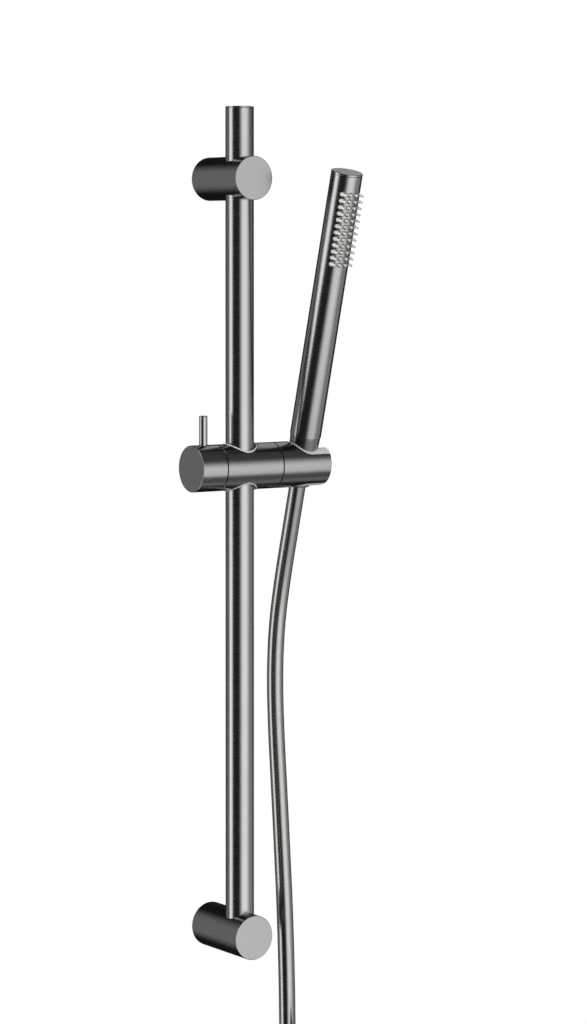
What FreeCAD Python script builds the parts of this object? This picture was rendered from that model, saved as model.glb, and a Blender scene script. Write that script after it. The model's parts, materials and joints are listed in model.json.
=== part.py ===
import FreeCAD, Part
import math
import os
import re
import Sketcher

# Shower slide rail: a round rail on two wall brackets, a slider that a knob locks on the rail,
# and a tilting holder that carries a stick handset and its hose.
# Frame: origin on the wall plane, midway between the two fixing holes.
# X runs along the slider, Y goes into the wall, Z is up. All sizes are in millimetres.

SIZES = {
    # rail and its end cap
    "rail_diameter": 22.0,
    "rail_wall": 1.5,
    "rail_standoff": 42.0,
    "rail_overhang": 55.6,
    "rail_seat": 6.0,
    "rail_fit": 0.1,
    "cap_thickness": 1.5,
    "cap_spigot": 8.0,
    "spigot_fit": 0.05,
    # wall brackets and the bosses inside them
    "bracket_spacing": 585.0,
    "bracket_diameter": 34.0,
    "bracket_length": 62.0,
    "boss_diameter": 24.0,
    "boss_depth": 14.0,
    "boss_fit": 0.1,
    "boss_end_gap": 0.2,
    "wall_hole": 6.0,
    "wall_sink": 11.2,
    "boss_screw_setback": 7.0,
    "boss_groove": 5.4,
    "boss_groove_depth": 1.5,
    # grub screws
    "grub_diameter": 5.0,
    "grub_socket": 2.5,
    "grub_socket_depth": 2.4,
    "grub_recess": 0.5,
    "grub_tip_gap": 0.05,
    "rail_grub_length": 14.0,
    "screw_fit": 0.05,
    # edges
    "edge_chamfer": 0.5,
    "seam_chamfer": 0.3,
    # slider on the rail
    "slider_height": 69.5,
    "slider_diameter": 36.0,
    "slider_left": 21.8,
    "slider_right": 29.3,
    "seam_gap": 0.8,
    "seam_washer": 0.6,
    "seam_inset": 0.6,
    "collet_fit": 0.08,
    "collet_wall": 1.45,
    "collet_height": 18.0,
    "collet_split": 3.0,
    "bush_wall": 0.95,
    "bush_fit": 0.05,
    "bush_proud": 0.4,
    "lip_height": 1.5,
    "lip_reach": 0.7,
    "lip_gap": 0.2,
    # lock
    "collar_diameter": 19.0,
    "collar_length": 12.6,
    "collar_fit": 0.08,
    "collar_end_gap": 0.4,
    "collar_groove": 4.4,
    "collar_groove_depth": 1.2,
    "collar_groove_set": 6.7,
    "knob_length": 22.0,
    "knob_grub_diameter": 4.0,
    "knob_grub_tip_gap": 0.3,
    "lever_diameter": 6.4,
    "lever_reach": 40.4,
    "lever_seat": 11.0,
    "spindle_diameter": 8.0,
    "spindle_bite": 6.0,
    "spindle_reach": 16.8,
    "thread_fit": 0.06,
    "plunger_diameter": 12.4,
    "plunger_flats": 10.4,
    "plunger_back": 24.0,
    "plunger_tip_wall": 3.2,
    "plunger_fit": 0.08,
    "plunger_gap": 0.05,
    "window_fit": 0.3,
    # tilting holder
    "holder_length": 44.65,
    "handset_offset": 57.8,
    "lean": 15.2,
    "pivot_diameter": 20.0,
    "pivot_length": 7.0,
    "pivot_fit": 0.08,
    "pivot_wall": 3.0,
    "pivot_screw_diameter": 6.0,
    "pivot_screw_grip": 12.0,
    "pivot_head_diameter": 10.0,
    "pivot_head_height": 3.0,
    "pivot_head_room": 0.4,
    "pivot_socket": 4.0,
    "pivot_socket_depth": 1.8,
    "spring_thickness": 0.5,
    "spring_cone": 0.35,
    "spring_gap": 0.05,
    "slot_width": 26.6,
    "liner_fit": 0.1,
    "mouth_width": 16.6,
    "mouth_flare": 2.2,
    # handset
    "handset_diameter": 24.5,
    "handset_wall": 1.2,
    "handset_foot": 23.5,
    "handset_top": 236.0,
    "handset_cap": 1.8,
    "nozzle_pitch": 5.02,
    "nozzle_columns": 4.0,
    "nozzle_rows": 12.0,
    "nozzle_first": 15.8,
    "nozzle_hole": 3.8,
    "nozzle_root": 3.0,
    "nozzle_tip": 1.9,
    "nozzle_reach": 14.8,
    "mat_thickness": 1.7,
    "mat_margin": 3.0,
    "mat_side": 5.0,
    "mat_fit": 0.05,
    "waterway_wall": 1.4,
    "waterway_flange": 3.0,
    "waterway_top_gap": 1.5,
    "window_margin": 1.5,
    "plug_length": 9.5,
    "plug_spigot": 8.0,
    # hose and its unions
    "union_diameter": 19.2,
    "union_depth": 11.5,
    "union_bore": 12.0,
    "union_fit": 0.05,
    "seal_thickness": 2.1,
    "seal_inset": 0.2,
    "ferrule_flange": 3.0,
    "ferrule_bore": 9.0,
    "ferrule_end": 10.0,
    "ferrule_gap": 0.1,
    "nut_top_diameter": 23.8,
    "nut_foot_diameter": 18.6,
    "nut_foot": 17.0,
    "nut_seam": 0.1,
    "nut_fit": 0.1,
    "hose_diameter": 13.0,
    "hose_clearance": 0.25,
    "ferrule_step": 0.1,
    # put-away coil and the end union
    "coil_radius": 71.0,
    "coil_turns": 2.0,
    "coil_pitch": 13.5,
    "coil_x": 57.0,
    "coil_y": 17.0,
    "coil_drop": 522.0,
    "coil_corner": 3.0,
    "coil_lead": 30.0,
    "tail_length": 86.0,
    "tie_thickness": 1.2,
    "tie_height": 10.0,
    "tie_fit": 0.35,
    "end_nut_flats": 24.0,
    "end_nut_length": 26.0,
    "end_nut_chamfer": 1.0,
    "end_ferrule_length": 14.0,
    "end_nut_lap": 8.0,
    "relief_depth": 0.5,
    "relief_gap": 0.3,
    "washer_hold": 0.2,
}

# Route of the hose from the end of its upper ferrule to the coil: X from the rail, Y from the rail
# axis towards the wall, Z from the slider axis. The first run follows the holder's own lean.
FIRST_RUN = 39.7
HOSE_ROUTE = [
    (57.5, 24.4, -90.0),
    (57.2, 32.8, -130.0),
    (57.0, 35.2, -171.0),
    (57.0, 33.3, -213.0),
    (57.0, 29.3, -256.0),
    (57.0, 25.3, -302.0),
    (57.0, 21.3, -350.0),
    (57.0, 18.7, -398.0),
    (57.0, 17.4, -446.0),
    (57.0, 17.0, -492.0),
]
ARC_SHARE = 0.45

RAIL_R = "rail_diameter/2"
RAIL_BORE = "(rail_diameter/2 - rail_wall)"
UPPER_AXIS = "bracket_spacing/2"
LOWER_AXIS = "-bracket_spacing/2"
BRACKET_R = "bracket_diameter/2"
BOSS_R = "boss_diameter/2"
BOSS_LENGTH = "(boss_depth - boss_end_gap)"
BOSS_GROOVE_R = "(boss_diameter/2 - boss_groove_depth)"

SLIDER_R = "slider_diameter/2"
COLLET_BORE = "(rail_diameter/2 + collet_fit)"
COLLET_R = "(rail_diameter/2 + collet_fit + collet_wall)"
BUSH_BORE = "(rail_diameter/2 + 2*collet_fit + collet_wall)"
BUSH_R = "(rail_diameter/2 + 2*collet_fit + collet_wall + bush_wall)"
COLLAR_R = "collar_diameter/2"
COLLAR_END = "(-slider_left - collar_length)"
COLLAR_GROOVE_R = "(collar_diameter/2 - collar_groove_depth)"
COLLAR_GROOVE_X = "(-slider_left - collar_groove_set)"
KNOB_FACE = "(-slider_left - seam_gap)"
KNOB_END = "(-slider_left - seam_gap - knob_length)"
KNOB_FLOOR = "(-slider_left - collar_length - collar_end_gap)"
KNOB_MIDDLE = "(-slider_left - seam_gap - knob_length/2)"
PLUNGER_TIP = "(-rail_diameter/2 - collet_fit - collet_wall - plunger_gap)"

PIVOT_R = "pivot_diameter/2"
PIVOT_END = "(slider_right + pivot_length)"
HOLDER_FACE = "(slider_right + seam_gap)"
HOLDER_END = "(slider_right + seam_gap + holder_length)"
PIVOT_FLOOR = "(slider_right + seam_gap + pivot_length)"
HEAD_FLOOR = "(slider_right + seam_gap + pivot_length + pivot_wall)"
SPRING_X = "(slider_right + seam_gap + pivot_length + pivot_wall + spring_gap)"
HEAD_X = ("(slider_right + seam_gap + pivot_length + pivot_wall + 2*spring_gap"
          " + spring_thickness + spring_cone)")

HANDSET_R = "handset_diameter/2"
HANDSET_BORE = "(handset_diameter/2 - handset_wall)"
HANDSET_END = "(handset_top - handset_cap)"
MAT_R = "(handset_diameter/2 - handset_wall - mat_fit)"
MAT_BORE = "(handset_diameter/2 - handset_wall - mat_fit - mat_thickness)"
WATERWAY_R = "(handset_diameter/2 - handset_wall - 2*mat_fit - mat_thickness)"
WATERWAY_BORE = "(handset_diameter/2 - handset_wall - 2*mat_fit - mat_thickness - waterway_wall)"
WATERWAY_FOOT = "(handset_foot + plug_length)"
WATERWAY_TOP = "(handset_top - handset_cap - cap_spigot - waterway_top_gap)"
FIRST_ROW = "(handset_top - nozzle_first)"
FIRST_COLUMN = "(-nozzle_pitch*(nozzle_columns - 1)/2)"
FIELD_HEIGHT = "(nozzle_pitch*(nozzle_rows - 1))"
FIELD_WIDTH = "(nozzle_pitch*(nozzle_columns - 1))"

UNION_R = "union_diameter/2"
SEAL_R = "(union_diameter/2 - seal_inset)"
NIPPLE_END = "(handset_foot - union_depth)"
SEAL_FOOT = "(handset_foot - union_depth - seal_thickness)"
FLANGE_FOOT = "(handset_foot - union_depth - seal_thickness - ferrule_flange)"
NUT_HEAD = "(handset_foot - nut_seam)"
NUT_SLOPE = "((nut_top_diameter - nut_foot_diameter)/2/(handset_foot - nut_seam + nut_foot))"
NUT_BORE = "(hose_diameter/2 + hose_clearance)"
FERRULE_R = "(hose_diameter/2 + ferrule_step)"
COIL_END_X = "(coil_x + coil_pitch*coil_turns)"

doc = FreeCAD.newDocument("shower_slide_rail")
sheet = doc.addObject("Spreadsheet::Sheet", "sizes")
nodes = []


def fill_sheet():
    """Write each driving size as a plain number beside its name."""
    for row, (name, value) in enumerate(SIZES.items(), start=1):
        sheet.set("A%d" % row, name)
        sheet.set("B%d" % row, str(value))
        sheet.setAlias("B%d" % row, name)
    doc.recompute()


def full(formula):
    """The formula with every size name read from the sheet."""
    names = "|".join(sorted(SIZES, key=len, reverse=True))
    return re.sub(r"\b(%s)\b" % names, r"sizes.\1", formula)


def size(formula):
    """The present value of a formula in millimetres."""
    return float(sheet.evalExpression(formula))


def bind(item, name, formula):
    item.setExpression(name, full(formula))


def place(item, x="0", y="0", z="0", turn=None):
    """Put an item at a point, turned about X by a formula in degrees where one is given."""
    if turn:
        item.Placement.Rotation = FreeCAD.Rotation(FreeCAD.Vector(1, 0, 0), size(turn))
        bind(item, "Placement.Rotation.Angle", turn)
    for axis, formula in zip("xyz", (x, y, z)):
        bind(item, "Placement.Base." + axis, formula)
    return item


def keep(item, label):
    """Name a finished sub-part, so that it is written to a file of that name."""
    item.Label = label
    nodes.append(item)
    return item


def on_slider(item, x="0", z="0"):
    return place(item, x, "-rail_standoff", "slider_height + " + z)


def on_holder(item, x="0"):
    return place(item, x, "-rail_standoff", "slider_height", turn="lean")


# Sketch and feature helpers


def new_body(name):
    return doc.addObject("PartDesign::Body", name)


def new_sketch(body, plane, offset=None):
    """A sketch on one of the body's own origin planes, moved along the plane's normal by an offset."""
    sketch = body.newObject("Sketcher::SketchObject", body.Name + "_sketch")
    role = plane + "_Plane"
    sketch.AttachmentSupport = [(next(p for p in body.Origin.OriginFeatures if p.Role == role), "")]
    sketch.MapMode = "FlatFace"
    if offset:
        bind(sketch, "AttachmentOffset.Base.z", offset)
    return sketch


def limit(sketch, constraint, formula):
    """Add a constraint whose value follows a formula."""
    bind(sketch, "Constraints[%d]" % sketch.addConstraint(constraint), formula)


def pin_point(sketch, line, end, x, y):
    """Hold one end of a line, or a centre, at a point given by two formulas."""
    for kind, axis, formula in (("DistanceX", -2, x), ("DistanceY", -1, y)):
        if formula == "0":
            sketch.addConstraint(Sketcher.Constraint("PointOnObject", line, end, axis))
        else:
            limit(sketch, Sketcher.Constraint(kind, -1, 1, line, end, size(formula)), formula)


def outline(sketch, corners):
    """A closed outline of straight lines through the corners."""
    points = [FreeCAD.Vector(size(x), size(y), 0) for x, y in corners]
    count = len(points)
    for i in range(count):
        sketch.addGeometry(Part.LineSegment(points[i], points[(i + 1) % count]), False)
    for i in range(count):
        sketch.addConstraint(Sketcher.Constraint("Coincident", i, 2, (i + 1) % count, 1))
    for i, (x, y) in enumerate(corners):
        pin_point(sketch, i, 1, x, y)


def circle(sketch, radius, x="0", y="0"):
    centre = FreeCAD.Vector(size(x), size(y), 0)
    index = sketch.addGeometry(Part.Circle(centre, FreeCAD.Vector(0, 0, 1), size(radius)), False)
    pin_point(sketch, index, 3, x, y)
    limit(sketch, Sketcher.Constraint("Radius", index, size(radius)), radius)


def hexagon(sketch, flats):
    """A hexagon with two corners on the horizontal axis."""
    far = "(%s)/sqrt(3)" % flats
    near = "(%s)/sqrt(3)/2" % flats
    half = "(%s)/2" % flats
    outline(sketch, [(far, "0"), (near, half), ("-" + near, half),
                     ("-" + far, "0"), ("-" + near, "-" + half), (near, "-" + half)])


def arc_through(sketch, radius, x, start, end):
    """An arc about a point on the horizontal axis, between two angles in degrees."""
    base = Part.Circle(FreeCAD.Vector(size(x), 0, 0), FreeCAD.Vector(0, 0, 1), size(radius))
    index = sketch.addGeometry(Part.ArcOfCircle(base, math.radians(start), math.radians(end)), False)
    pin_point(sketch, index, 3, x, "0")
    limit(sketch, Sketcher.Constraint("Radius", index, size(radius)), radius)
    return index


def straight(sketch, x_from, y_from, x_to, y_to):
    start = FreeCAD.Vector(size(x_from), size(y_from), 0)
    end = FreeCAD.Vector(size(x_to), size(y_to), 0)
    return sketch.addGeometry(Part.LineSegment(start, end), False)


def join(sketch, *pairs):
    for first, first_end, second, second_end in pairs:
        sketch.addConstraint(Sketcher.Constraint("Coincident", first, first_end, second, second_end))


def double_d(sketch, radius, flats):
    """A circle with a flat above and a flat below."""
    half = "(%s)/2" % flats
    rise = math.degrees(math.asin(size(half) / size(radius)))
    reach = "sqrt((%s)^2 - (%s)^2)" % (radius, half)
    right = arc_through(sketch, radius, "0", -rise, rise)
    left = arc_through(sketch, radius, "0", 180 - rise, 180 + rise)
    top = straight(sketch, reach, half, "-" + reach, half)
    foot = straight(sketch, "-" + reach, "-" + half, reach, "-" + half)
    join(sketch, (right, 2, top, 1), (top, 2, left, 1), (left, 2, foot, 1), (foot, 2, right, 1))
    for line, height in ((top, half), (foot, "-" + half)):
        sketch.addConstraint(Sketcher.Constraint("Horizontal", line))
        limit(sketch, Sketcher.Constraint("DistanceY", -1, 1, line, 1, size(height)), height)


def u_slot(sketch, centre, radius, end):
    """A slot with a round end about a centre on the horizontal axis, open towards the end."""
    bend = arc_through(sketch, radius, centre, 90, 270)
    top = straight(sketch, end, radius, centre, radius)
    foot = straight(sketch, centre, "-" + radius, end, "-" + radius)
    mouth = straight(sketch, end, "-" + radius, end, radius)
    join(sketch, (top, 2, bend, 1), (bend, 2, foot, 1), (foot, 2, mouth, 1), (mouth, 2, top, 1))
    for bend_end in (1, 2):
        limit(sketch, Sketcher.Constraint("DistanceX", -1, 1, bend, bend_end, size(centre)), centre)
    limit(sketch, Sketcher.Constraint("DistanceX", -1, 1, top, 1, size(end)), end)
    sketch.addConstraint(Sketcher.Constraint("Horizontal", top))
    sketch.addConstraint(Sketcher.Constraint("Horizontal", foot))
    sketch.addConstraint(Sketcher.Constraint("Vertical", mouth))


def revolve(body, sketch, axis):
    feature = body.newObject("PartDesign::Revolution", body.Name + "_turning")
    feature.Profile = sketch
    feature.ReferenceAxis = (sketch, [axis])
    feature.Angle = 360
    doc.recompute()
    return feature


def pad(body, sketch, length, midplane=False, backwards=False):
    feature = body.newObject("PartDesign::Pad", body.Name + "_pad")
    feature.Profile = sketch
    feature.Midplane = midplane
    feature.Reversed = backwards
    bind(feature, "Length", length)
    doc.recompute()
    return feature


def pocket(body, sketch, length=None, midplane=False, forwards=False):
    """Cut a sketch into the body against the plane's normal, or along it; right through if no length."""
    before = body.Shape.Volume
    feature = body.newObject("PartDesign::Pocket", body.Name + "_cut")
    feature.Profile = sketch
    feature.Midplane = midplane
    feature.Reversed = forwards
    if length:
        bind(feature, "Length", length)
    else:
        feature.Type = "ThroughAll"
    doc.recompute()
    if body.Shape.Volume >= before:
        raise RuntimeError("a cut in %s removes nothing" % body.Name)
    return feature


def bore(body, plane, radius, x="0", y="0", offset=None, length=None, midplane=False, forwards=False):
    """A round hole square to one of the body's planes."""
    sketch = new_sketch(body, plane, offset)
    circle(sketch, radius, x, y)
    return pocket(body, sketch, length, midplane, forwards)


def turned_on_z(name, corners):
    """A turned piece about Z: corners are radius and height."""
    body = new_body(name)
    sketch = new_sketch(body, "XZ")
    outline(sketch, corners)
    revolve(body, sketch, "V_Axis")
    return body


def turned_on_x(name, corners):
    """A turned piece about X: corners are place along X and radius."""
    body = new_body(name)
    sketch = new_sketch(body, "XZ")
    outline(sketch, corners)
    revolve(body, sketch, "H_Axis")
    return body


def turned_on_y(name, corners):
    """A turned piece about Y: corners are place along Y and radius."""
    body = new_body(name)
    sketch = new_sketch(body, "YZ")
    outline(sketch, corners)
    revolve(body, sketch, "H_Axis")
    return body


def grid_pattern(body, feature):
    """Repeat a feature over the nozzle field, down the rows and across the columns."""
    pattern = body.newObject("PartDesign::LinearPattern", body.Name + "_field")
    pattern.Originals = [feature]
    sketch = feature.Profile[0]
    pattern.Direction = (sketch, ["V_Axis"])
    pattern.Reversed = True
    pattern.Direction2 = (sketch, ["H_Axis"])
    bind(pattern, "Length", FIELD_HEIGHT)
    bind(pattern, "Occurrences", "nozzle_rows")
    bind(pattern, "Length2", FIELD_WIDTH)
    bind(pattern, "Occurrences2", "nozzle_columns")
    body.Tip = pattern
    doc.recompute()
    return pattern


def combine(kind, name, base, tool):
    """A boolean of two items: Cut, Fuse or Common."""
    result = doc.addObject("Part::" + kind, name)
    result.Base = base
    result.Tool = tool
    doc.recompute()
    return result


def cylinder_on_x(name, radius, start, end):
    """A plain cylinder along X, between two formulas."""
    item = doc.addObject("Part::Cylinder", name)
    bind(item, "Radius", radius)
    bind(item, "Height", "(%s) - (%s)" % (end, start))
    item.Placement.Rotation = FreeCAD.Rotation(FreeCAD.Vector(0, 1, 0), 90)
    bind(item, "Placement.Base.x", start)
    return item


# Rail, brackets and wall bosses


def rail_tube():
    top = "bracket_spacing/2 + rail_overhang - cap_thickness"
    foot = "-bracket_spacing/2 - rail_seat"
    body = turned_on_z("rail_tube", [
        (RAIL_BORE, foot), (RAIL_R, foot), (RAIL_R, top + " - seam_chamfer"),
        (RAIL_R + " - seam_chamfer", top), (RAIL_BORE, top)])
    keep(place(body, y="-rail_standoff"), "rail_tube")


def rail_top_cap():
    plug = RAIL_BORE + " - spigot_fit"
    body = turned_on_z("rail_top_cap", [
        ("0", "-cap_spigot"), (plug, "-cap_spigot"), (plug, "0"), (RAIL_R + " - seam_chamfer", "0"),
        (RAIL_R, "seam_chamfer"), (RAIL_R, "cap_thickness - edge_chamfer"),
        (RAIL_R + " - edge_chamfer", "cap_thickness"), ("0", "cap_thickness")])
    place(body, y="-rail_standoff", z="bracket_spacing/2 + rail_overhang - cap_thickness")
    keep(body, "rail_top_cap")


def wall_bracket(label, axis_height, rail_passes):
    """A turned bracket with a socket for the wall boss and a hole for the rail."""
    socket = BOSS_R + " + boss_fit"
    body = turned_on_y(label, [
        ("-bracket_length", "0"), ("-bracket_length", BRACKET_R + " - edge_chamfer"),
        ("-bracket_length + edge_chamfer", BRACKET_R), ("-seam_chamfer", BRACKET_R),
        ("0", BRACKET_R + " - seam_chamfer"), ("0", socket), ("-boss_depth", socket), ("-boss_depth", "0")])
    hole = RAIL_R + " + rail_fit"
    if rail_passes:
        bore(body, "XY", hole, y="-rail_standoff", midplane=True)
    else:
        bore(body, "XY", hole, y="-rail_standoff", offset="-rail_seat", forwards=True)
    thread = "grub_diameter/2 + screw_fit"
    bore(body, "XY", thread, y="-boss_screw_setback")
    bore(body, "XZ", thread, offset="boss_depth", length="rail_standoff - boss_depth", forwards=True)
    keep(place(body, z=axis_height), label)


def wall_boss(label, axis_height):
    """The boss that a countersunk screw holds on the wall, with a groove for the bracket's grub screw."""
    near = "-boss_screw_setback + boss_groove/2"
    far = "-boss_screw_setback - boss_groove/2"
    body = turned_on_y(label, [
        ("0", "wall_hole/2"), ("0", BOSS_R), (near, BOSS_R), (near, BOSS_GROOVE_R), (far, BOSS_GROOVE_R),
        (far, BOSS_R), ("-" + BOSS_LENGTH, BOSS_R), ("-" + BOSS_LENGTH, "wall_sink/2"),
        ("-" + BOSS_LENGTH + " + (wall_sink - wall_hole)/2", "wall_hole/2")])
    keep(place(body, z=axis_height), label)


def grub_screw(name, diameter, length):
    """A headless screw along Z: its hexagon socket is at the foot and its cone tip at the top."""
    radius = "(%s)/2" % diameter
    body = turned_on_z(name, [
        ("0", "0"), (radius, "0"), (radius, "(%s) - edge_chamfer" % length),
        (radius + " - edge_chamfer", length), ("0", length)])
    sketch = new_sketch(body, "XY")
    hexagon(sketch, "grub_socket")
    pocket(body, sketch, "grub_socket_depth", forwards=True)
    return body


def group(label, members):
    """Like pieces that share one name."""
    item = doc.addObject("Part::Compound", label)
    item.Links = members
    keep(item, label)


def bracket_screws():
    """Grub screws under each bracket that lock it on its boss, and screws inside that clamp the rail."""
    reach = "(bracket_diameter/2 - grub_recess - %s - grub_tip_gap)" % BOSS_GROOVE_R
    locks = []
    clamps = []
    for axis_height in (UPPER_AXIS, LOWER_AXIS):
        lock = grub_screw("boss_grub", "grub_diameter", reach)
        foot = axis_height + " - bracket_diameter/2 + grub_recess"
        locks.append(place(lock, y="-boss_screw_setback", z=foot))
        clamp = grub_screw("rail_grub", "grub_diameter", "rail_grub_length")
        back = "-rail_standoff + rail_diameter/2 + grub_tip_gap + rail_grub_length"
        clamps.append(place(clamp, y=back, z=axis_height, turn="90"))
    group("bracket_grub_screws", locks)
    group("rail_clamp_screws", clamps)


# Slider, brake collet and lock


def brake_collet():
    """The split ring that the plunger presses on the rail."""
    body = turned_on_z("brake_collet", [
        (COLLET_BORE, "-collet_height/2"), (COLLET_R, "-collet_height/2"),
        (COLLET_R, "collet_height/2"), (COLLET_BORE, "collet_height/2")])
    sketch = new_sketch(body, "XY")
    past = COLLET_R + " + collet_wall"
    outline(sketch, [("0", "-collet_split/2"), (past, "-collet_split/2"),
                     (past, "collet_split/2"), ("0", "collet_split/2")])
    pocket(body, sketch, midplane=True)
    keep(on_slider(body), "brake_collet")


def slider_bush():
    """The sleeve round the collet: two lips keep the collet in.

    Both ends follow the slider's round and stand a little proud of it.
    """
    lip_foot = "collet_height/2 + lip_gap"
    lip_head = "collet_height/2 + lip_gap + lip_height"
    lip = BUSH_BORE + " - lip_reach"
    past = "(slider_diameter/2 + bush_proud + bush_wall)"
    blank = turned_on_z("bush_blank", [
        (BUSH_BORE, "-" + past), (BUSH_R, "-" + past), (BUSH_R, past), (BUSH_BORE, past),
        (BUSH_BORE, lip_head), (lip, lip_head), (lip, lip_foot), (BUSH_BORE, lip_foot),
        (BUSH_BORE, "-(%s)" % lip_foot), (lip, "-(%s)" % lip_foot),
        (lip, "-(%s)" % lip_head), (BUSH_BORE, "-(%s)" % lip_head)])
    round_bar = cylinder_on_x("bush_round", SLIDER_R + " + bush_proud", "-slider_left", "slider_right")
    sleeve = combine("Common", "bush_sleeve", blank, round_bar)
    window = cylinder_on_x("bush_window", "plunger_diameter/2 + window_fit", "-slider_left", "0")
    keep(on_slider(combine("Cut", "slider_bush", sleeve, window)), "slider_bush")


def slider_body():
    """The turned body: collar for the knob, bores for the rail and plunger, pivot for the holder."""
    groove_near = COLLAR_GROOVE_X + " + collar_groove/2"
    groove_far = COLLAR_GROOVE_X + " - collar_groove/2"
    body = turned_on_x("slider_body", [
        (COLLAR_END, "0"), (COLLAR_END, COLLAR_R), (groove_far, COLLAR_R), (groove_far, COLLAR_GROOVE_R),
        (groove_near, COLLAR_GROOVE_R), (groove_near, COLLAR_R), ("-slider_left", COLLAR_R),
        ("-slider_left", SLIDER_R + " - seam_chamfer"), ("-slider_left + seam_chamfer", SLIDER_R),
        ("slider_right - seam_chamfer", SLIDER_R), ("slider_right", SLIDER_R + " - seam_chamfer"),
        ("slider_right", PIVOT_R), (PIVOT_END, PIVOT_R), (PIVOT_END, "0")])
    bore(body, "XY", BUSH_R + " + bush_fit", midplane=True)
    sketch = new_sketch(body, "YZ")
    double_d(sketch, "plunger_diameter/2 + plunger_fit", "plunger_flats + 2*plunger_fit")
    pocket(body, sketch)
    bore(body, "YZ", "pivot_screw_diameter/2 + screw_fit", offset=PIVOT_END,
         length="pivot_screw_grip + edge_chamfer")
    keep(on_slider(body), "slider_body")


def seam_washer(label, start, end, inner):
    outer = SLIDER_R + " - seam_inset"
    body = turned_on_x(label, [(start, inner), (start, outer), (end, outer), (end, inner)])
    keep(on_slider(body), label)


def seam_washers():
    seam_washer("knob_seam_washer", "-slider_left - seam_washer", "-slider_left", COLLAR_R + " + boss_fit")
    seam_washer("holder_seam_washer", "slider_right", "slider_right + seam_washer", PIVOT_R + " + boss_fit")


def lock_knob():
    """The knob that turns on the collar, with holes for its lever, its spindle and its retaining screw."""
    inner = COLLAR_R + " + collar_fit"
    body = turned_on_x("lock_knob", [
        (KNOB_END, "0"), (KNOB_END, SLIDER_R + " - edge_chamfer"), (KNOB_END + " + edge_chamfer", SLIDER_R),
        (KNOB_FACE + " - seam_chamfer", SLIDER_R), (KNOB_FACE, SLIDER_R + " - seam_chamfer"),
        (KNOB_FACE, inner), (KNOB_FLOOR, inner), (KNOB_FLOOR, "0")])
    bore(body, "YZ", "spindle_diameter/2 + screw_fit", offset=KNOB_FLOOR, length="spindle_bite")
    bore(body, "XY", "lever_diameter/2 + screw_fit", x=KNOB_MIDDLE, offset="lever_seat", forwards=True)
    bore(body, "XY", "knob_grub_diameter/2 + screw_fit", x=COLLAR_GROOVE_X)
    keep(on_slider(body), "lock_knob")


def lock_lever():
    height = "lever_reach - lever_seat"
    body = turned_on_z("lock_lever", [
        ("0", "0"), ("lever_diameter/2", "0"), ("lever_diameter/2", height + " - edge_chamfer"),
        ("lever_diameter/2 - edge_chamfer", height), ("0", height)])
    keep(on_slider(body, x=KNOB_MIDDLE, z="lever_seat"), "lock_lever")


def lock_spindle():
    start = KNOB_FLOOR + " - spindle_bite"
    body = turned_on_x("lock_spindle", [
        (start, "0"), (start, "spindle_diameter/2"),
        ("-spindle_reach - edge_chamfer", "spindle_diameter/2"),
        ("-spindle_reach", "spindle_diameter/2 - edge_chamfer"), ("-spindle_reach", "0")])
    keep(on_slider(body), "lock_spindle")


def knob_grub_screw():
    reach = "(slider_diameter/2 - grub_recess - %s - knob_grub_tip_gap)" % COLLAR_GROOVE_R
    body = grub_screw("knob_grub_screw", "knob_grub_diameter", reach)
    keep(on_slider(body, x=COLLAR_GROOVE_X, z="grub_recess - slider_diameter/2"), "knob_grub_screw")


def clamp_plunger():
    """The nut on the spindle: two flats keep it from turning and its hollow tip fits the collet."""
    body = new_body("clamp_plunger")
    sketch = new_sketch(body, "YZ", "-plunger_back")
    double_d(sketch, "plunger_diameter/2", "plunger_flats")
    pad(body, sketch, "plunger_back - rail_diameter/2")
    bore(body, "XY", "-" + PLUNGER_TIP, midplane=True)
    bore(body, "YZ", "spindle_diameter/2 + thread_fit", offset="-plunger_back",
         length="plunger_back + %s - plunger_tip_wall" % PLUNGER_TIP, forwards=True)
    keep(on_slider(body), "clamp_plunger")


# Tilting holder


def pivot_screw():
    tip = PIVOT_END + " - pivot_screw_grip"
    head_end = HEAD_X + " + pivot_head_height"
    body = turned_on_x("pivot_screw", [
        (tip, "0"), (tip, "pivot_screw_diameter/2"), (HEAD_X, "pivot_screw_diameter/2"),
        (HEAD_X, "pivot_head_diameter/2"), (head_end, "pivot_head_diameter/2"), (head_end, "0")])
    sketch = new_sketch(body, "YZ", head_end)
    hexagon(sketch, "pivot_socket")
    pocket(body, sketch, "pivot_socket_depth")
    keep(on_slider(body), "pivot_screw")


def pivot_spring_washer():
    """A conical washer under the screw's head, which gives the tilt its friction."""
    inner = "pivot_screw_diameter/2 + pivot_fit"
    outer = "pivot_head_diameter/2"
    body = turned_on_x("pivot_spring_washer", [
        (SPRING_X, outer), (SPRING_X + " + spring_thickness", outer),
        (SPRING_X + " + spring_thickness + spring_cone", inner), (SPRING_X + " + spring_cone", inner)])
    keep(on_slider(body), "pivot_spring_washer")


def handset_holder():
    """The turned holder: socket on the pivot, screw hole, and a slot that is open at the far end."""
    socket = PIVOT_R + " + pivot_fit"
    body = turned_on_x("handset_holder", [
        (PIVOT_FLOOR, "0"), (PIVOT_FLOOR, socket), (HOLDER_FACE, socket),
        (HOLDER_FACE, SLIDER_R + " - seam_chamfer"), (HOLDER_FACE + " + seam_chamfer", SLIDER_R),
        (HOLDER_END + " - edge_chamfer", SLIDER_R), (HOLDER_END, SLIDER_R + " - edge_chamfer"),
        (HOLDER_END, "0")])
    sketch = new_sketch(body, "XY")
    u_slot(sketch, "handset_offset", "(slot_width/2)", HOLDER_END + " + edge_chamfer")
    pocket(body, sketch, midplane=True)
    bore(body, "YZ", "pivot_screw_diameter/2 + pivot_fit", offset=HEAD_FLOOR, length="2*pivot_wall")
    bore(body, "YZ", "pivot_head_diameter/2 + pivot_head_room", offset=HEAD_FLOOR,
         length="handset_offset - " + HEAD_FLOOR, forwards=True)
    keep(on_holder(body), "handset_holder")


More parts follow.
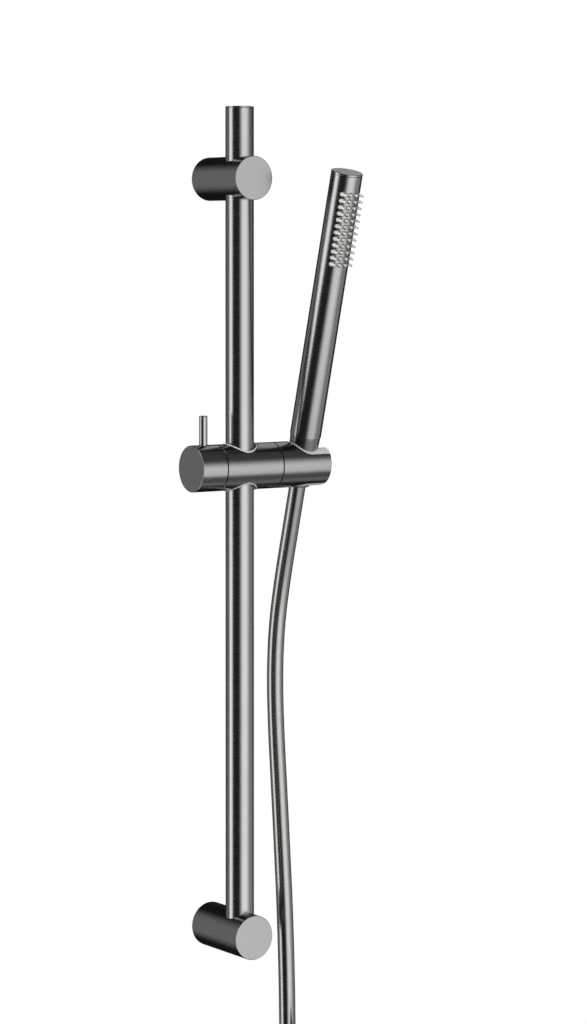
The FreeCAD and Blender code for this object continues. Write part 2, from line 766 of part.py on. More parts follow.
def holder_liner():
    """The liner in the slot, flush with the round: a conical seat for the nut and a narrower mouth."""
    blank = new_body("liner_blank")
    sketch = new_sketch(blank, "XY")
    u_slot(sketch, "handset_offset", "(slot_width/2 - liner_fit)", HOLDER_END)
    pad(blank, sketch, "slider_diameter + 2*mouth_flare", midplane=True)
    round_bar = cylinder_on_x("liner_round", SLIDER_R, HOLDER_FACE, HOLDER_END)
    flush = combine("Common", "liner_flush", blank, round_bar)
    cone = doc.addObject("Part::Cone", "liner_seat")
    seat = "nut_foot_diameter/2 + nut_fit + (%s + nut_foot)*" + NUT_SLOPE
    reach = "(slider_diameter/2 + mouth_flare)"
    bind(cone, "Radius1", seat % ("-" + reach))
    bind(cone, "Radius2", seat % reach)
    bind(cone, "Height", "2*" + reach)
    place(cone, "handset_offset", "0", "-" + reach)
    mouth = new_body("liner_mouth")
    sketch = new_sketch(mouth, "XY")
    past = HOLDER_END + " + mouth_flare"
    outline(sketch, [
        ("handset_offset", "-mouth_width/2"), (HOLDER_END + " - mouth_flare", "-mouth_width/2"),
        (past, "-mouth_width/2 - 2*mouth_flare"), (past, "mouth_width/2 + 2*mouth_flare"),
        (HOLDER_END + " - mouth_flare", "mouth_width/2"), ("handset_offset", "mouth_width/2")])
    pad(mouth, sketch, "2*slider_diameter", midplane=True)
    seated = combine("Cut", "liner_seated", flush, cone)
    keep(on_holder(combine("Cut", "holder_liner", seated, mouth)), "holder_liner")


# Handset


def handset_body():
    """The handset's tube, with one hole for each nozzle in the side that faces forwards."""
    body = turned_on_z("handset_body", [
        (HANDSET_BORE, "handset_foot"), (HANDSET_R + " - seam_chamfer", "handset_foot"),
        (HANDSET_R, "handset_foot + seam_chamfer"), (HANDSET_R, HANDSET_END + " - seam_chamfer"),
        (HANDSET_R + " - seam_chamfer", HANDSET_END), (HANDSET_BORE, HANDSET_END)])
    hole = bore(body, "XZ", "nozzle_hole/2", x=FIRST_COLUMN, y=FIRST_ROW, length=HANDSET_R, forwards=True)
    grid_pattern(body, hole)
    keep(on_holder(body, "handset_offset"), "handset_body")


def handset_top_cap():
    plug = HANDSET_BORE + " - spigot_fit"
    body = turned_on_z("handset_top_cap", [
        ("0", HANDSET_END + " - cap_spigot"), (plug, HANDSET_END + " - cap_spigot"), (plug, HANDSET_END),
        (HANDSET_R + " - seam_chamfer", HANDSET_END), (HANDSET_R, HANDSET_END + " + seam_chamfer"),
        (HANDSET_R, "handset_top - edge_chamfer"), (HANDSET_R + " - edge_chamfer", "handset_top"),
        ("0", "handset_top")])
    keep(on_holder(body, "handset_offset"), "handset_top_cap")


def nozzle_mat():
    """One silicone moulding: a curved mat inside the tube, and a tapered nozzle through each hole.

    The nozzles stand square to the spray side, and their tips lie in one plane.
    """
    body = new_body("nozzle_mat")
    sketch = new_sketch(body, "YZ")
    top = FIRST_ROW + " + mat_margin"
    foot = FIRST_ROW + " - %s - mat_margin" % FIELD_HEIGHT
    outline(sketch, [("-" + MAT_R, foot), ("-" + MAT_BORE, foot),
                     ("-" + MAT_BORE, top), ("-" + MAT_R, top)])
    mat = body.newObject("PartDesign::Revolution", "mat_turning")
    mat.Profile = sketch
    mat.ReferenceAxis = (sketch, ["V_Axis"])
    mat.Midplane = True
    bind(mat, "Angle", "2*asin(%s/2/%s) + 2*mat_side/%s*(180 deg)/pi" % (FIELD_WIDTH, MAT_R, MAT_R))
    doc.recompute()
    root = "sqrt(%s^2 - (%s/2)^2)" % (MAT_BORE, FIELD_WIDTH)
    sketch = new_sketch(body, "XZ", root)
    circle(sketch, "nozzle_root/2", FIRST_COLUMN, FIRST_ROW)
    nozzle = pad(body, sketch, "nozzle_reach - " + root)
    bind(nozzle, "TaperAngle", "-atan((nozzle_root - nozzle_tip)/2/(nozzle_reach - %s))" % root)
    doc.recompute()
    grid_pattern(body, nozzle)
    bore(body, "XY", MAT_BORE, midplane=True)
    keep(on_holder(body, "handset_offset"), "nozzle_mat")


def waterway_tube():
    """The plastic tube inside the handset, closed at the top, with a window behind the nozzle mat."""
    flange = HANDSET_BORE + " - mat_fit"
    body = turned_on_z("waterway_tube", [
        (WATERWAY_BORE, WATERWAY_FOOT), (flange, WATERWAY_FOOT),
        (flange, WATERWAY_FOOT + " + waterway_flange"),
        (WATERWAY_R, WATERWAY_FOOT + " + waterway_flange"), (WATERWAY_R, WATERWAY_TOP),
        ("0", WATERWAY_TOP), ("0", WATERWAY_TOP + " - waterway_wall"),
        (WATERWAY_BORE, WATERWAY_TOP + " - waterway_wall")])
    sketch = new_sketch(body, "XZ")
    side = "(%s - window_margin)" % WATERWAY_BORE
    top = WATERWAY_TOP + " - waterway_wall - window_margin"
    foot = FIRST_ROW + " - %s - nozzle_hole/2" % FIELD_HEIGHT
    outline(sketch, [("-" + side, foot), (side, foot), (side, top), ("-" + side, top)])
    pocket(body, sketch, HANDSET_R, forwards=True)
    keep(on_holder(body, "handset_offset"), "waterway_tube")


def inlet_nipple():
    """The plug in the handset's foot, with a spigot for the waterway above and the threaded union below."""
    plug = HANDSET_BORE + " - spigot_fit"
    spigot = WATERWAY_BORE + " - spigot_fit"
    head = WATERWAY_FOOT + " + plug_spigot"
    body = turned_on_z("inlet_nipple", [
        ("union_bore/2", NIPPLE_END), (UNION_R, NIPPLE_END), (UNION_R, "handset_foot"),
        (plug, "handset_foot"), (plug, WATERWAY_FOOT), (spigot, WATERWAY_FOOT), (spigot, head),
        ("union_bore/2", head)])
    keep(on_holder(body, "handset_offset"), "inlet_nipple")


# Hose and its unions


def inlet_washer():
    body = turned_on_z("inlet_washer", [
        ("ferrule_bore/2", SEAL_FOOT), (SEAL_R, SEAL_FOOT),
        (SEAL_R, NIPPLE_END), ("ferrule_bore/2", NIPPLE_END)])
    keep(on_holder(body, "handset_offset"), "inlet_washer")


def hose_upper_ferrule():
    body = turned_on_z("hose_upper_ferrule", [
        ("ferrule_bore/2", "-ferrule_end"), (FERRULE_R, "-ferrule_end"), (FERRULE_R, FLANGE_FOOT),
        (SEAL_R, FLANGE_FOOT), (SEAL_R, SEAL_FOOT), ("ferrule_bore/2", SEAL_FOOT)])
    keep(on_holder(body, "handset_offset"), "hose_upper_ferrule")


def hose_cone_nut():
    """The conical nut that screws on the handset and sits in the holder's conical seat."""
    shelf = FLANGE_FOOT + " - ferrule_gap"
    thread = UNION_R + " + union_fit"
    body = turned_on_z("hose_cone_nut", [
        (NUT_BORE, "-nut_foot"), ("nut_foot_diameter/2 - edge_chamfer", "-nut_foot"),
        ("nut_foot_diameter/2", "edge_chamfer - nut_foot"),
        ("nut_top_diameter/2", NUT_HEAD + " - seam_chamfer"),
        ("nut_top_diameter/2 - seam_chamfer", NUT_HEAD),
        (thread, NUT_HEAD), (thread, shelf), (NUT_BORE, shelf)])
    keep(on_holder(body, "handset_offset"), "hose_cone_nut")


def hose_points():
    """The hose's route in the part's frame, from the end of the upper ferrule."""
    lean = math.radians(size("lean"))
    origin = FreeCAD.Vector(0, -size("rail_standoff"), size("slider_height"))
    seat = origin + FreeCAD.Vector(size("handset_offset"), 0, 0)
    down = FreeCAD.Vector(0, math.sin(lean), -math.cos(lean))
    start = size("ferrule_end")
    leaning = [seat + down * start, seat + down * (start + FIRST_RUN)]
    return leaning + [origin + FreeCAD.Vector(*point) for point in HOSE_ROUTE]


def rounded_path(points):
    """Straight runs joined by tangent arcs, each as large as its two runs allow."""
    edges = []
    last = points[0]
    for before, corner, after in zip(points, points[1:], points[2:]):
        back = before - corner
        ahead = after - corner
        half_turn = (math.pi - back.getAngle(ahead)) / 2
        trim = ARC_SHARE * min(back.Length, ahead.Length)
        radius = trim / math.tan(half_turn)
        print("hose turn %5.2f degrees, radius %6.0f mm" % (math.degrees(2 * half_turn), radius))
        back.normalize()
        ahead.normalize()
        middle = back + ahead
        middle.normalize()
        near = corner + back * trim
        far = corner + ahead * trim
        crown = corner + middle * (radius / math.cos(half_turn) - radius)
        edges.append(Part.LineSegment(last, near).toShape())
        edges.append(Part.Arc(near, crown, far).toShape())
        last = far
    edges.append(Part.LineSegment(last, points[-1]).toShape())
    return Part.Wire(edges)


def hose_tube():
    """The hose from its upper ferrule down to the coil."""
    points = hose_points()
    path = rounded_path(points)
    radius = size("hose_diameter") / 2
    rim = Part.Wire(Part.Circle(points[0], points[1] - points[0], radius).toShape())
    item = doc.addObject("Part::Feature", "hose_tube")
    item.Shape = path.makePipeShell([rim], True, False)
    ratio = item.Shape.Volume / (math.pi * radius ** 2 * path.Length)
    print("hose tube %.0f mm long, volume over section times length %.4f" % (path.Length, ratio))
    keep(item, "hose_tube")


def on_coil(item, x="0", z="0"):
    return place(item, x, "coil_y - rail_standoff", "slider_height - coil_drop + " + z)


def hose_coil():
    """The outer shape of the coiled length, a ring whose axis is along X."""
    left = "coil_x - hose_diameter/2"
    right = COIL_END_X + " + hose_diameter/2"
    inner = "coil_radius - hose_diameter/2"
    outer = "coil_radius + hose_diameter/2"
    body = turned_on_x("hose_coil", [
        (left, inner + " + coil_corner"), (left, outer + " - coil_corner"),
        (left + " + coil_corner", outer), (right + " - coil_corner", outer),
        (right, outer + " - coil_corner"), (right, inner + " + coil_corner"),
        (right + " - coil_corner", inner), (left + " + coil_corner", inner)])
    place(body, "0", "coil_y - coil_radius - rail_standoff", "slider_height - coil_drop")
    keep(body, "hose_coil")


def hose_tail():
    """The last straight stretch, from the back of the coil down to the end union."""
    item = doc.addObject("Part::Cylinder", "hose_tail")
    bind(item, "Radius", "hose_diameter/2")
    bind(item, "Height", "tail_length - coil_lead")
    keep(on_coil(item, COIL_END_X, "-tail_length"), "hose_tail")


def tie_block(name, grow):
    """A block round the coil's strands at its back, larger than they are by a margin on each side."""
    block = doc.addObject("Part::Box", name)
    bind(block, "Length", "coil_pitch*coil_turns + hose_diameter + 2*(%s)" % grow)
    bind(block, "Width", "hose_diameter + 2*(%s)" % grow)
    bind(block, "Height", "tie_height")
    corner = "-hose_diameter/2 - (%s)" % grow
    return place(block, "coil_x " + corner, corner, "-tie_height/2")


def hose_tie():
    outside = tie_block("tie_outside", "tie_fit + tie_thickness")
    inside = tie_block("tie_inside", "tie_fit")
    keep(on_coil(combine("Cut", "hose_tie", outside, inside)), "hose_tie")


def hose_end_ferrule():
    flange_head = "-end_ferrule_length"
    flange_foot = "-end_ferrule_length - ferrule_flange"
    body = turned_on_z("hose_end_ferrule", [
        ("ferrule_bore/2", "0"), (FERRULE_R, "0"), (FERRULE_R, flange_head), (SEAL_R, flange_head),
        (SEAL_R, flange_foot), ("ferrule_bore/2", flange_foot)])
    keep(on_coil(body, COIL_END_X, "-tail_length"), "hose_end_ferrule")


def hose_end_nut():
    """The hexagon union nut at the far end: it turns on the ferrule behind its flange.

    Its thread ends at a wider relief that keeps the washer in.
    """
    head = "end_nut_lap - end_ferrule_length"
    foot = "end_nut_lap - end_ferrule_length - end_nut_length"
    shelf = "ferrule_gap - end_ferrule_length"
    thread = UNION_R + " + union_fit"
    relief = UNION_R + " + union_fit + relief_depth"
    relief_foot = "-end_ferrule_length - ferrule_flange - ferrule_gap - seal_thickness - relief_gap"
    corner = "end_nut_flats/sqrt(3)"
    barrel = turned_on_z("end_nut_barrel", [
        (NUT_BORE, head), (corner + " - 2*end_nut_chamfer", head), (corner, head + " - end_nut_chamfer"),
        (corner, foot + " + end_nut_chamfer"), (corner + " - 2*end_nut_chamfer", foot),
        (thread, foot), (thread, relief_foot), (relief, relief_foot), (relief, shelf), (NUT_BORE, shelf)])
    bar = new_body("end_nut_bar")
    sketch = new_sketch(bar, "XY", foot)
    hexagon(sketch, "end_nut_flats")
    pad(bar, sketch, "end_nut_length")
    nut = combine("Common", "hose_end_nut", bar, barrel)
    keep(on_coil(nut, COIL_END_X, "-tail_length"), "hose_end_nut")


def end_washer():
    head = "-end_ferrule_length - ferrule_flange - ferrule_gap"
    foot = head + " - seal_thickness"
    outer = UNION_R + " + washer_hold"
    body = turned_on_z("end_washer", [
        ("ferrule_bore/2", foot), (outer, foot), (outer, head), ("ferrule_bore/2", head)])
    keep(on_coil(body, COIL_END_X, "-tail_length"), "end_washer")


def build():
    fill_sheet()
    rail_tube()
    rail_top_cap()
    wall_bracket("upper_bracket", UPPER_AXIS, True)
    wall_bracket("lower_bracket", LOWER_AXIS, False)
    wall_boss("upper_wall_boss", UPPER_AXIS)
    wall_boss("lower_wall_boss", LOWER_AXIS)
    bracket_screws()
    brake_collet()
    slider_bush()
    slider_body()
    seam_washers()
    lock_knob()
    lock_lever()
    lock_spindle()
    knob_grub_screw()
    clamp_plunger()
    pivot_screw()
    pivot_spring_washer()
    handset_holder()
    holder_liner()
    handset_body()
    handset_top_cap()
    nozzle_mat()
    waterway_tube()
    inlet_nipple()
    inlet_washer()
    hose_upper_ferrule()
    hose_cone_nut()
    hose_tube()
    hose_coil()
    hose_tail()
    hose_tie()
    hose_end_ferrule()
    hose_end_nut()
    end_washer()
    doc.recompute()


def check_document():
    """Stop if any object failed to compute, or a sub-part has no sound solid."""
    for item in doc.Objects:
        if "Invalid" in item.State or "Error" in item.State:
            raise RuntimeError("%s did not compute" % item.Label)
    for item in nodes:
        if item.Shape.isNull() or not item.Shape.isValid() or not item.Shape.Solids:
            raise RuntimeError("%s is not a sound solid" % item.Label)


def write_parts():
    os.makedirs("parts", exist_ok=True)
    for item in nodes:
        item.Shape.exportStep("parts/%s.step" % item.Label)


build()
check_document()
write_parts()
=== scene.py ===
import json
import math

import bmesh
import bpy
import numpy as np
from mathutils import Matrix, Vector


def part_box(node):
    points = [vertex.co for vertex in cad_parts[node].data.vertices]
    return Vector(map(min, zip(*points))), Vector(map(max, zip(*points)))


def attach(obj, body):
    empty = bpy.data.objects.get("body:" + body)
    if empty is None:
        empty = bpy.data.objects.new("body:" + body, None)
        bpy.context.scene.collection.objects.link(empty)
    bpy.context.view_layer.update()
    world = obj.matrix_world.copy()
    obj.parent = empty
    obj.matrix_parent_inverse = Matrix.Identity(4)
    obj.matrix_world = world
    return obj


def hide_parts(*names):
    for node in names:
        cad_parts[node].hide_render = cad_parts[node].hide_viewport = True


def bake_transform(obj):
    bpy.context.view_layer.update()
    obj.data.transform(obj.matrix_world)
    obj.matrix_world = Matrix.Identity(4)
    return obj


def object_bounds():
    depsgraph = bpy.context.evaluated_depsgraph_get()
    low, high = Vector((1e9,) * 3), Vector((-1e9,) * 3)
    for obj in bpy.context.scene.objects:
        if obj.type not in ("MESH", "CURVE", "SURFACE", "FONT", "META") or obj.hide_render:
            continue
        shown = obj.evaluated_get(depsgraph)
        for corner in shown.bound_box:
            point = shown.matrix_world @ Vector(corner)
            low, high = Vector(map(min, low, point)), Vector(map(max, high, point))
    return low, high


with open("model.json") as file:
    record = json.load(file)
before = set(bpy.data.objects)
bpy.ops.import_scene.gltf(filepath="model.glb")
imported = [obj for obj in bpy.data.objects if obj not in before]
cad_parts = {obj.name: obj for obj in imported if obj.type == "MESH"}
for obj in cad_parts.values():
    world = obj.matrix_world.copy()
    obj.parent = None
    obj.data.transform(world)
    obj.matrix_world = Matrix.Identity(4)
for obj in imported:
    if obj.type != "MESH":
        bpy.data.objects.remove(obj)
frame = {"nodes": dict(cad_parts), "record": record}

bl_info = {
    "name": "Shower Slide Rail",
    "version": (1, 0, 0),
    "blender": (4, 5, 0),
    "location": "3D View > Sidebar > Slide Rail",
    "description": "Dresses the CAD frame of a shower slide rail with smooth pieces, finishes and a studio",
    "category": "Add Mesh",
}

bpy.context.view_layer.update()
CAD_BOX = [list(corner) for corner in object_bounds()]

MM = 0.001
# points closer than this are welded where grids meet
WELD = 2e-6
# distance of the support points beside a rounded corner
SUPPORT = 0.12 * MM
# edges sharper than this stay sharp in the shading
SHARP_ANGLE = math.radians(32)
# steps across half of a round bar, round a whole one and over a quarter round
ACROSS = 48
FULL_TURN = np.linspace(0, 2 * math.pi, 2 * ACROSS + 1)
QUARTER_TURN = np.linspace(0, math.pi / 2, 5)
# broken edge of a screw hole, and the gap between the cone nut and the handset's foot
SCREW_EDGE = 0.2 * MM
NUT_GAP = 0.1 * MM
# turns a grid on a bar to the bar's other side
OTHER_SIDE = np.array([1, -1, 1])
# local axes of a bar along the slider (Z along the part's X, Y up) and of one out of the wall (Y up)
SLIDER_AXES = np.array([(0, 1, 0), (0, 0, 1), (1, 0, 0)], float)
WALL_AXES = np.array([(1, 0, 0), (0, 0, 1), (0, -1, 0)], float)
SLOT_OF = {row["node"]: row["material_slot"] for row in frame["record"]["subparts"]}


def linear(hex_colour):
    """Linear RGB of an sRGB hex colour: each channel c is ((c + 0.055) / 1.055) ^ 2.4."""
    channels = [int(hex_colour[i:i + 2], 16) / 255 for i in (1, 3, 5)]
    return [c / 12.92 if c <= 0.04045 else ((c + 0.055) / 1.055) ** 2.4 for c in channels]


def span(node, axis):
    """Lowest and highest coordinate of a CAD node along X, Y or Z, in metres."""
    low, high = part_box(node)
    return low["XYZ".index(axis)], high["XYZ".index(axis)]


def middle(node, axis):
    """Middle of a CAD node along X, Y or Z, in metres."""
    return sum(span(node, axis)) / 2


RAIL_Y = middle("rail_tube", "Y")
SLIDER_Z = middle("slider_bush", "Z")
HANDSET_X = middle("handset_top_cap", "X")


class SlideRailSizes(bpy.types.PropertyGroup):
    """Sizes that the dressed pieces share with the CAD part"""
    rail_diameter: bpy.props.FloatProperty(
        name="Rail Diameter", description="Outside of the rail tube", default=22 * MM, unit="LENGTH")
    bracket_diameter: bpy.props.FloatProperty(
        name="Bracket Diameter", description="Outside of the wall brackets", default=34 * MM, unit="LENGTH")
    bracket_hole: bpy.props.FloatProperty(
        name="Bracket Hole", description="Hole for the rail in a bracket", default=22.2 * MM, unit="LENGTH")
    bracket_socket: bpy.props.FloatProperty(
        name="Bracket Socket", description="Socket for the wall boss", default=24.2 * MM, unit="LENGTH")
    grub_hole: bpy.props.FloatProperty(
        name="Grub Hole", description="Hole of a bracket's grub screw", default=5.1 * MM, unit="LENGTH")
    edge_round: bpy.props.FloatProperty(
        name="Edge Round", description="Rounding of free edges", default=0.5 * MM, unit="LENGTH")
    seam_round: bpy.props.FloatProperty(
        name="Seam Round", description="Rounding of edges at a seam", default=0.3 * MM, unit="LENGTH")
    slider_diameter: bpy.props.FloatProperty(
        name="Slider Diameter", description="Outside of slider, knob and holder", default=36 * MM,
        unit="LENGTH")
    slider_hole: bpy.props.FloatProperty(
        name="Slider Hole", description="Hole in the slider for its bush", default=27.18 * MM, unit="LENGTH")
    bush_diameter: bpy.props.FloatProperty(
        name="Bush Diameter", description="Outside of the bush", default=27.08 * MM, unit="LENGTH")
    bush_bore: bpy.props.FloatProperty(
        name="Bush Bore", description="Bore of the bush at its ends", default=25.22 * MM, unit="LENGTH")
    bush_proud: bpy.props.FloatProperty(
        name="Bush Proud", description="Ends of the bush above the slider", default=0.4 * MM, unit="LENGTH")
    lever_diameter: bpy.props.FloatProperty(
        name="Lever Diameter", description="Pin lever of the knob", default=6.4 * MM, unit="LENGTH")
    knob_grub_hole: bpy.props.FloatProperty(
        name="Knob Grub Hole", description="Hole of the knob's grub screw", default=4.1 * MM, unit="LENGTH")
    slot_width: bpy.props.FloatProperty(
        name="Slot Width", description="Slot of the holder", default=26.6 * MM, unit="LENGTH")
    liner_width: bpy.props.FloatProperty(
        name="Liner Width", description="Outside of the holder's liner", default=26.4 * MM, unit="LENGTH")
    mouth_width: bpy.props.FloatProperty(
        name="Mouth Width", description="Narrow way into the liner", default=16.6 * MM, unit="LENGTH")
    mouth_flare: bpy.props.FloatProperty(
        name="Mouth Flare", description="Lead-in of the liner's mouth", default=2.2 * MM, unit="LENGTH")
    lean: bpy.props.FloatProperty(
        name="Lean", description="Lean of the handset away from the wall", default=math.radians(15.2),
        subtype="ANGLE")
    handset_diameter: bpy.props.FloatProperty(
        name="Handset Diameter", description="Outside of the handset's tube", default=24.5 * MM,
        unit="LENGTH")
    handset_wall: bpy.props.FloatProperty(
        name="Handset Wall", description="Wall of the handset's tube", default=1.2 * MM, unit="LENGTH")
    handset_foot: bpy.props.FloatProperty(
        name="Handset Foot", description="Foot of the handset above the slider axis", default=23.5 * MM,
        unit="LENGTH")
    handset_top: bpy.props.FloatProperty(
        name="Handset Top", description="Top of the handset above the slider axis", default=236 * MM,
        unit="LENGTH")
    handset_cap: bpy.props.FloatProperty(
        name="Handset Cap", description="Thickness of the handset's end cap", default=1.8 * MM,
        unit="LENGTH")
    nozzle_columns: bpy.props.IntProperty(
        name="Nozzle Columns", description="Nozzles side by side", default=4, min=2)
    nozzle_rows: bpy.props.IntProperty(
        name="Nozzle Rows", description="Rows of nozzles", default=12, min=2)
    nozzle_pitch: bpy.props.FloatProperty(
        name="Nozzle Pitch", description="Distance from nozzle to nozzle", default=5.02 * MM, unit="LENGTH")
    nozzle_first: bpy.props.FloatProperty(
        name="First Nozzle", description="First row below the handset's top", default=15.8 * MM,
        unit="LENGTH")
    nozzle_hole: bpy.props.FloatProperty(
        name="Nozzle Hole", description="Hole in the tube for a nozzle", default=3.8 * MM, unit="LENGTH")
    nozzle_root: bpy.props.FloatProperty(
        name="Nozzle Root", description="Width of a nozzle at its root", default=3.0 * MM, unit="LENGTH")
    nozzle_tip: bpy.props.FloatProperty(
        name="Nozzle Tip", description="Width of a nozzle at its tip", default=1.9 * MM, unit="LENGTH")
    nozzle_reach: bpy.props.FloatProperty(
        name="Nozzle Reach", description="Nozzle tips from the handset's axis", default=14.8 * MM,
        unit="LENGTH")
    mat_diameter: bpy.props.FloatProperty(
        name="Mat Diameter", description="Outside of the nozzle mat", default=22 * MM, unit="LENGTH")
    mat_bore: bpy.props.FloatProperty(
        name="Mat Bore", description="Inside of the nozzle mat", default=18.6 * MM, unit="LENGTH")
    nut_top: bpy.props.FloatProperty(
        name="Nut Top", description="Wide end of the cone nut", default=23.8 * MM, unit="LENGTH")
    nut_foot: bpy.props.FloatProperty(
        name="Nut Foot", description="Narrow end of the cone nut", default=18.6 * MM, unit="LENGTH")
    nut_drop: bpy.props.FloatProperty(
        name="Nut Drop", description="Foot of the nut below the slider axis", default=17 * MM, unit="LENGTH")
    hose_diameter: bpy.props.FloatProperty(
        name="Hose Diameter", description="Outside of the hose", default=13 * MM, unit="LENGTH")
    hose_length: bpy.props.FloatProperty(
        name="Hose Length", description="Length from nut to end ferrule", default=1.496, unit="LENGTH")
    coil_radius: bpy.props.FloatProperty(
        name="Coil Radius", description="Middle of the put-away turns", default=71 * MM, unit="LENGTH")
    coil_pitch: bpy.props.FloatProperty(
        name="Coil Pitch", description="Step from turn to turn", default=13.5 * MM, unit="LENGTH")
    coil_turns: bpy.props.IntProperty(
        name="Coil Turns", description="Turns of the put-away hose", default=2, min=1)


class SlideRailColours(bpy.types.PropertyGroup):
    """Colours of the finishes"""
    gunmetal: bpy.props.FloatVectorProperty(
        name="Gunmetal", description="Brushed steel under a grey vapour coat", default=linear("#9A9A99"),
        subtype="COLOR", min=0, max=1)
    steel: bpy.props.FloatVectorProperty(
        name="Steel", description="Bare stainless steel of screws", default=linear("#C3C1BC"),
        subtype="COLOR", min=0, max=1)
    brass: bpy.props.FloatVectorProperty(
        name="Brass", description="Bare turned brass inside", default=linear("#C9A35C"),
        subtype="COLOR", min=0, max=1)
    nylon: bpy.props.FloatVectorProperty(
        name="Nylon", description="Pale moulded bush and liner", default=linear("#D4D3CF"),
        subtype="COLOR", min=0, max=1)
    acetal: bpy.props.FloatVectorProperty(
        name="Acetal", description="Dark moulded washers and tie", default=linear("#1D1D1E"),
        subtype="COLOR", min=0, max=1)
    silicone: bpy.props.FloatVectorProperty(
        name="Silicone", description="Soft pale nozzles", default=linear("#D4D4D1"),
        subtype="COLOR", min=0, max=1)
    rubber: bpy.props.FloatVectorProperty(
        name="Rubber", description="Black seals", default=linear("#141414"),
        subtype="COLOR", min=0, max=1)
    hose: bpy.props.FloatVectorProperty(
        name="Hose", description="Metallic grey hose skin", default=linear("#979694"),
        subtype="COLOR", min=0, max=1)
    floor: bpy.props.FloatVectorProperty(
        name="Floor", description="Pale studio floor", default=linear("#E6E6E6"),
        subtype="COLOR", min=0, max=1)


class SlideRailStudio(bpy.types.PropertyGroup):
    """Camera and light"""
    camera_place: bpy.props.FloatVectorProperty(
        name="Camera", description="Place of the camera", default=(-1.3047, -1.99008, 0.24057),
        subtype="TRANSLATION", unit="LENGTH")
    camera_turn: bpy.props.FloatProperty(
        name="Camera Turn", description="Turn of the view from straight at the wall",
        default=math.radians(34.829), subtype="ANGLE")
    camera_dip: bpy.props.FloatProperty(
        name="Camera Dip", description="Dip of the view below level", default=math.radians(0.778),
        subtype="ANGLE")
    camera_lens: bpy.props.FloatProperty(
        name="Lens", description="Focal length on a 36 mm picture height", default=106.61, unit="CAMERA")
    camera_shift: bpy.props.FloatProperty(
        name="Shift", description="Rise of the picture as a share of its height", default=-0.22,
        subtype="FACTOR")
    tent_radius: bpy.props.FloatProperty(
        name="Tent Radius", description="Reach of the light tent", default=30.0, unit="LENGTH")
    panel_glow: bpy.props.FloatProperty(
        name="Panel Glow", description="Brightness of the tent's lit panels", default=2.2, min=0)
    fill_power: bpy.props.FloatProperty(
        name="Fill Power", description="Power of the fill lamps", default=26.0, min=0, unit="POWER")


# Shapes worked out as whole arrays


def rounded(corners, radii, steps=5):
    """Profile of straight runs with rounded corners.

    At a corner whose runs enclose the angle 2a, an arc of radius r starts r / tan(a) before it and ends as
    far after it, round a centre r / sin(a) away on the bisector. A support point beside each end of an arc
    keeps the flat runs flat in the shading.
    """
    corners = np.array(corners, float)
    share = np.linspace(0, 1, steps + 1)[:, None]
    points = []
    for i, radius in enumerate(radii):
        corner = corners[i]
        if radius == 0:
            points.append(corner[None])
            continue
        before = corners[i - 1] - corner
        after = corners[i + 1] - corner
        before = before / np.linalg.norm(before)
        after = after / np.linalg.norm(after)
        half = math.acos(before @ after) / 2
        bisector = (before + after) / np.linalg.norm(before + after)
        centre = corner + bisector * radius / math.sin(half)
        start = corner + before * radius / math.tan(half)
        end = corner + after * radius / math.tan(half)
        sweep = math.pi - 2 * half
        arc = np.sin((1 - share) * sweep) * (start - centre) + np.sin(share * sweep) * (end - centre)
        points.append((start + before * SUPPORT)[None])
        points.append(centre + arc / math.sin(sweep))
        points.append((end + after * SUPPORT)[None])
    return np.concatenate(points)


def turned(profile, turn=FULL_TURN):
    """Surface of revolution: radius r and height h at the angle t give (r cos t, r sin t, h)."""
    radius = profile[:, :1]
    height = profile[:, 1:]
    return np.stack([radius * np.cos(turn), radius * np.sin(turn), height + 0 * turn], axis=-1)


def ruled(start, end, steps):
    """Straight lines between two curves of as many points: (1 - u) start + u end, for u from 0 to 1."""
    share = np.linspace(0, 1, steps + 1).reshape((-1,) + (1,) * start.ndim)
    return start + (end - start) * share


def rolled(radius, arc, height, side):
    """A flat sheet rolled on a bar: arc length s and height h give (R sin(s/R), side R cos(s/R), h)."""
    return np.stack([radius * np.sin(arc / radius), side * radius * np.cos(arc / radius), height], axis=-1)


def frame_border(arc, low, high, along):
    """Points round a rectangle of half width arc from low to high, corner to corner and closed."""
    side = np.linspace(-arc, arc, ACROSS + 1)[:-1]
    rise = np.linspace(low, high, along + 1)[:-1]
    border_arc = np.concatenate([side, np.full(along, arc), -side, np.full(along, -arc), [-arc]])
    border_height = np.concatenate(
        [np.full(ACROSS, low), rise, np.full(ACROSS, high), low + high - rise, [low]])
    return border_arc, border_height


def drilled_half(radius, low, high, centre, hole, side, along, rings=14):
    """Half of a round bar with a round hole from above (side 1) or below (side -1).

    In the unrolled plane straight lines run from the hole's rim to a rectangle. The rim is the circle
    (r cos t, centre + r sin t) seen along the hole, so its arc length on the bar is R asin(r cos t / R).
    The first row of the grid is the rim.
    """
    arc, height = frame_border(radius * math.pi / 2, low, high, along)
    turn = np.arctan2(height - centre, arc)
    rim_arc = radius * np.arcsin(hole * np.cos(turn) / radius)
    rim_height = centre + hole * np.sin(turn)
    flat = ruled(np.stack([rim_arc, rim_height], axis=-1), np.stack([arc, height], axis=-1), rings)
    return rolled(radius, flat[..., 0], flat[..., 1], side)


def plain_half(radius, low, high, side, along=24):
    """Half of a round bar with no hole: a rectangle of the unrolled plane rolled up."""
    quarter = radius * math.pi / 2
    height, arc = np.meshgrid(
        np.linspace(low, high, along + 1), np.linspace(-quarter, quarter, ACROSS + 1), indexing="ij")
    return rolled(radius, arc, height, side)


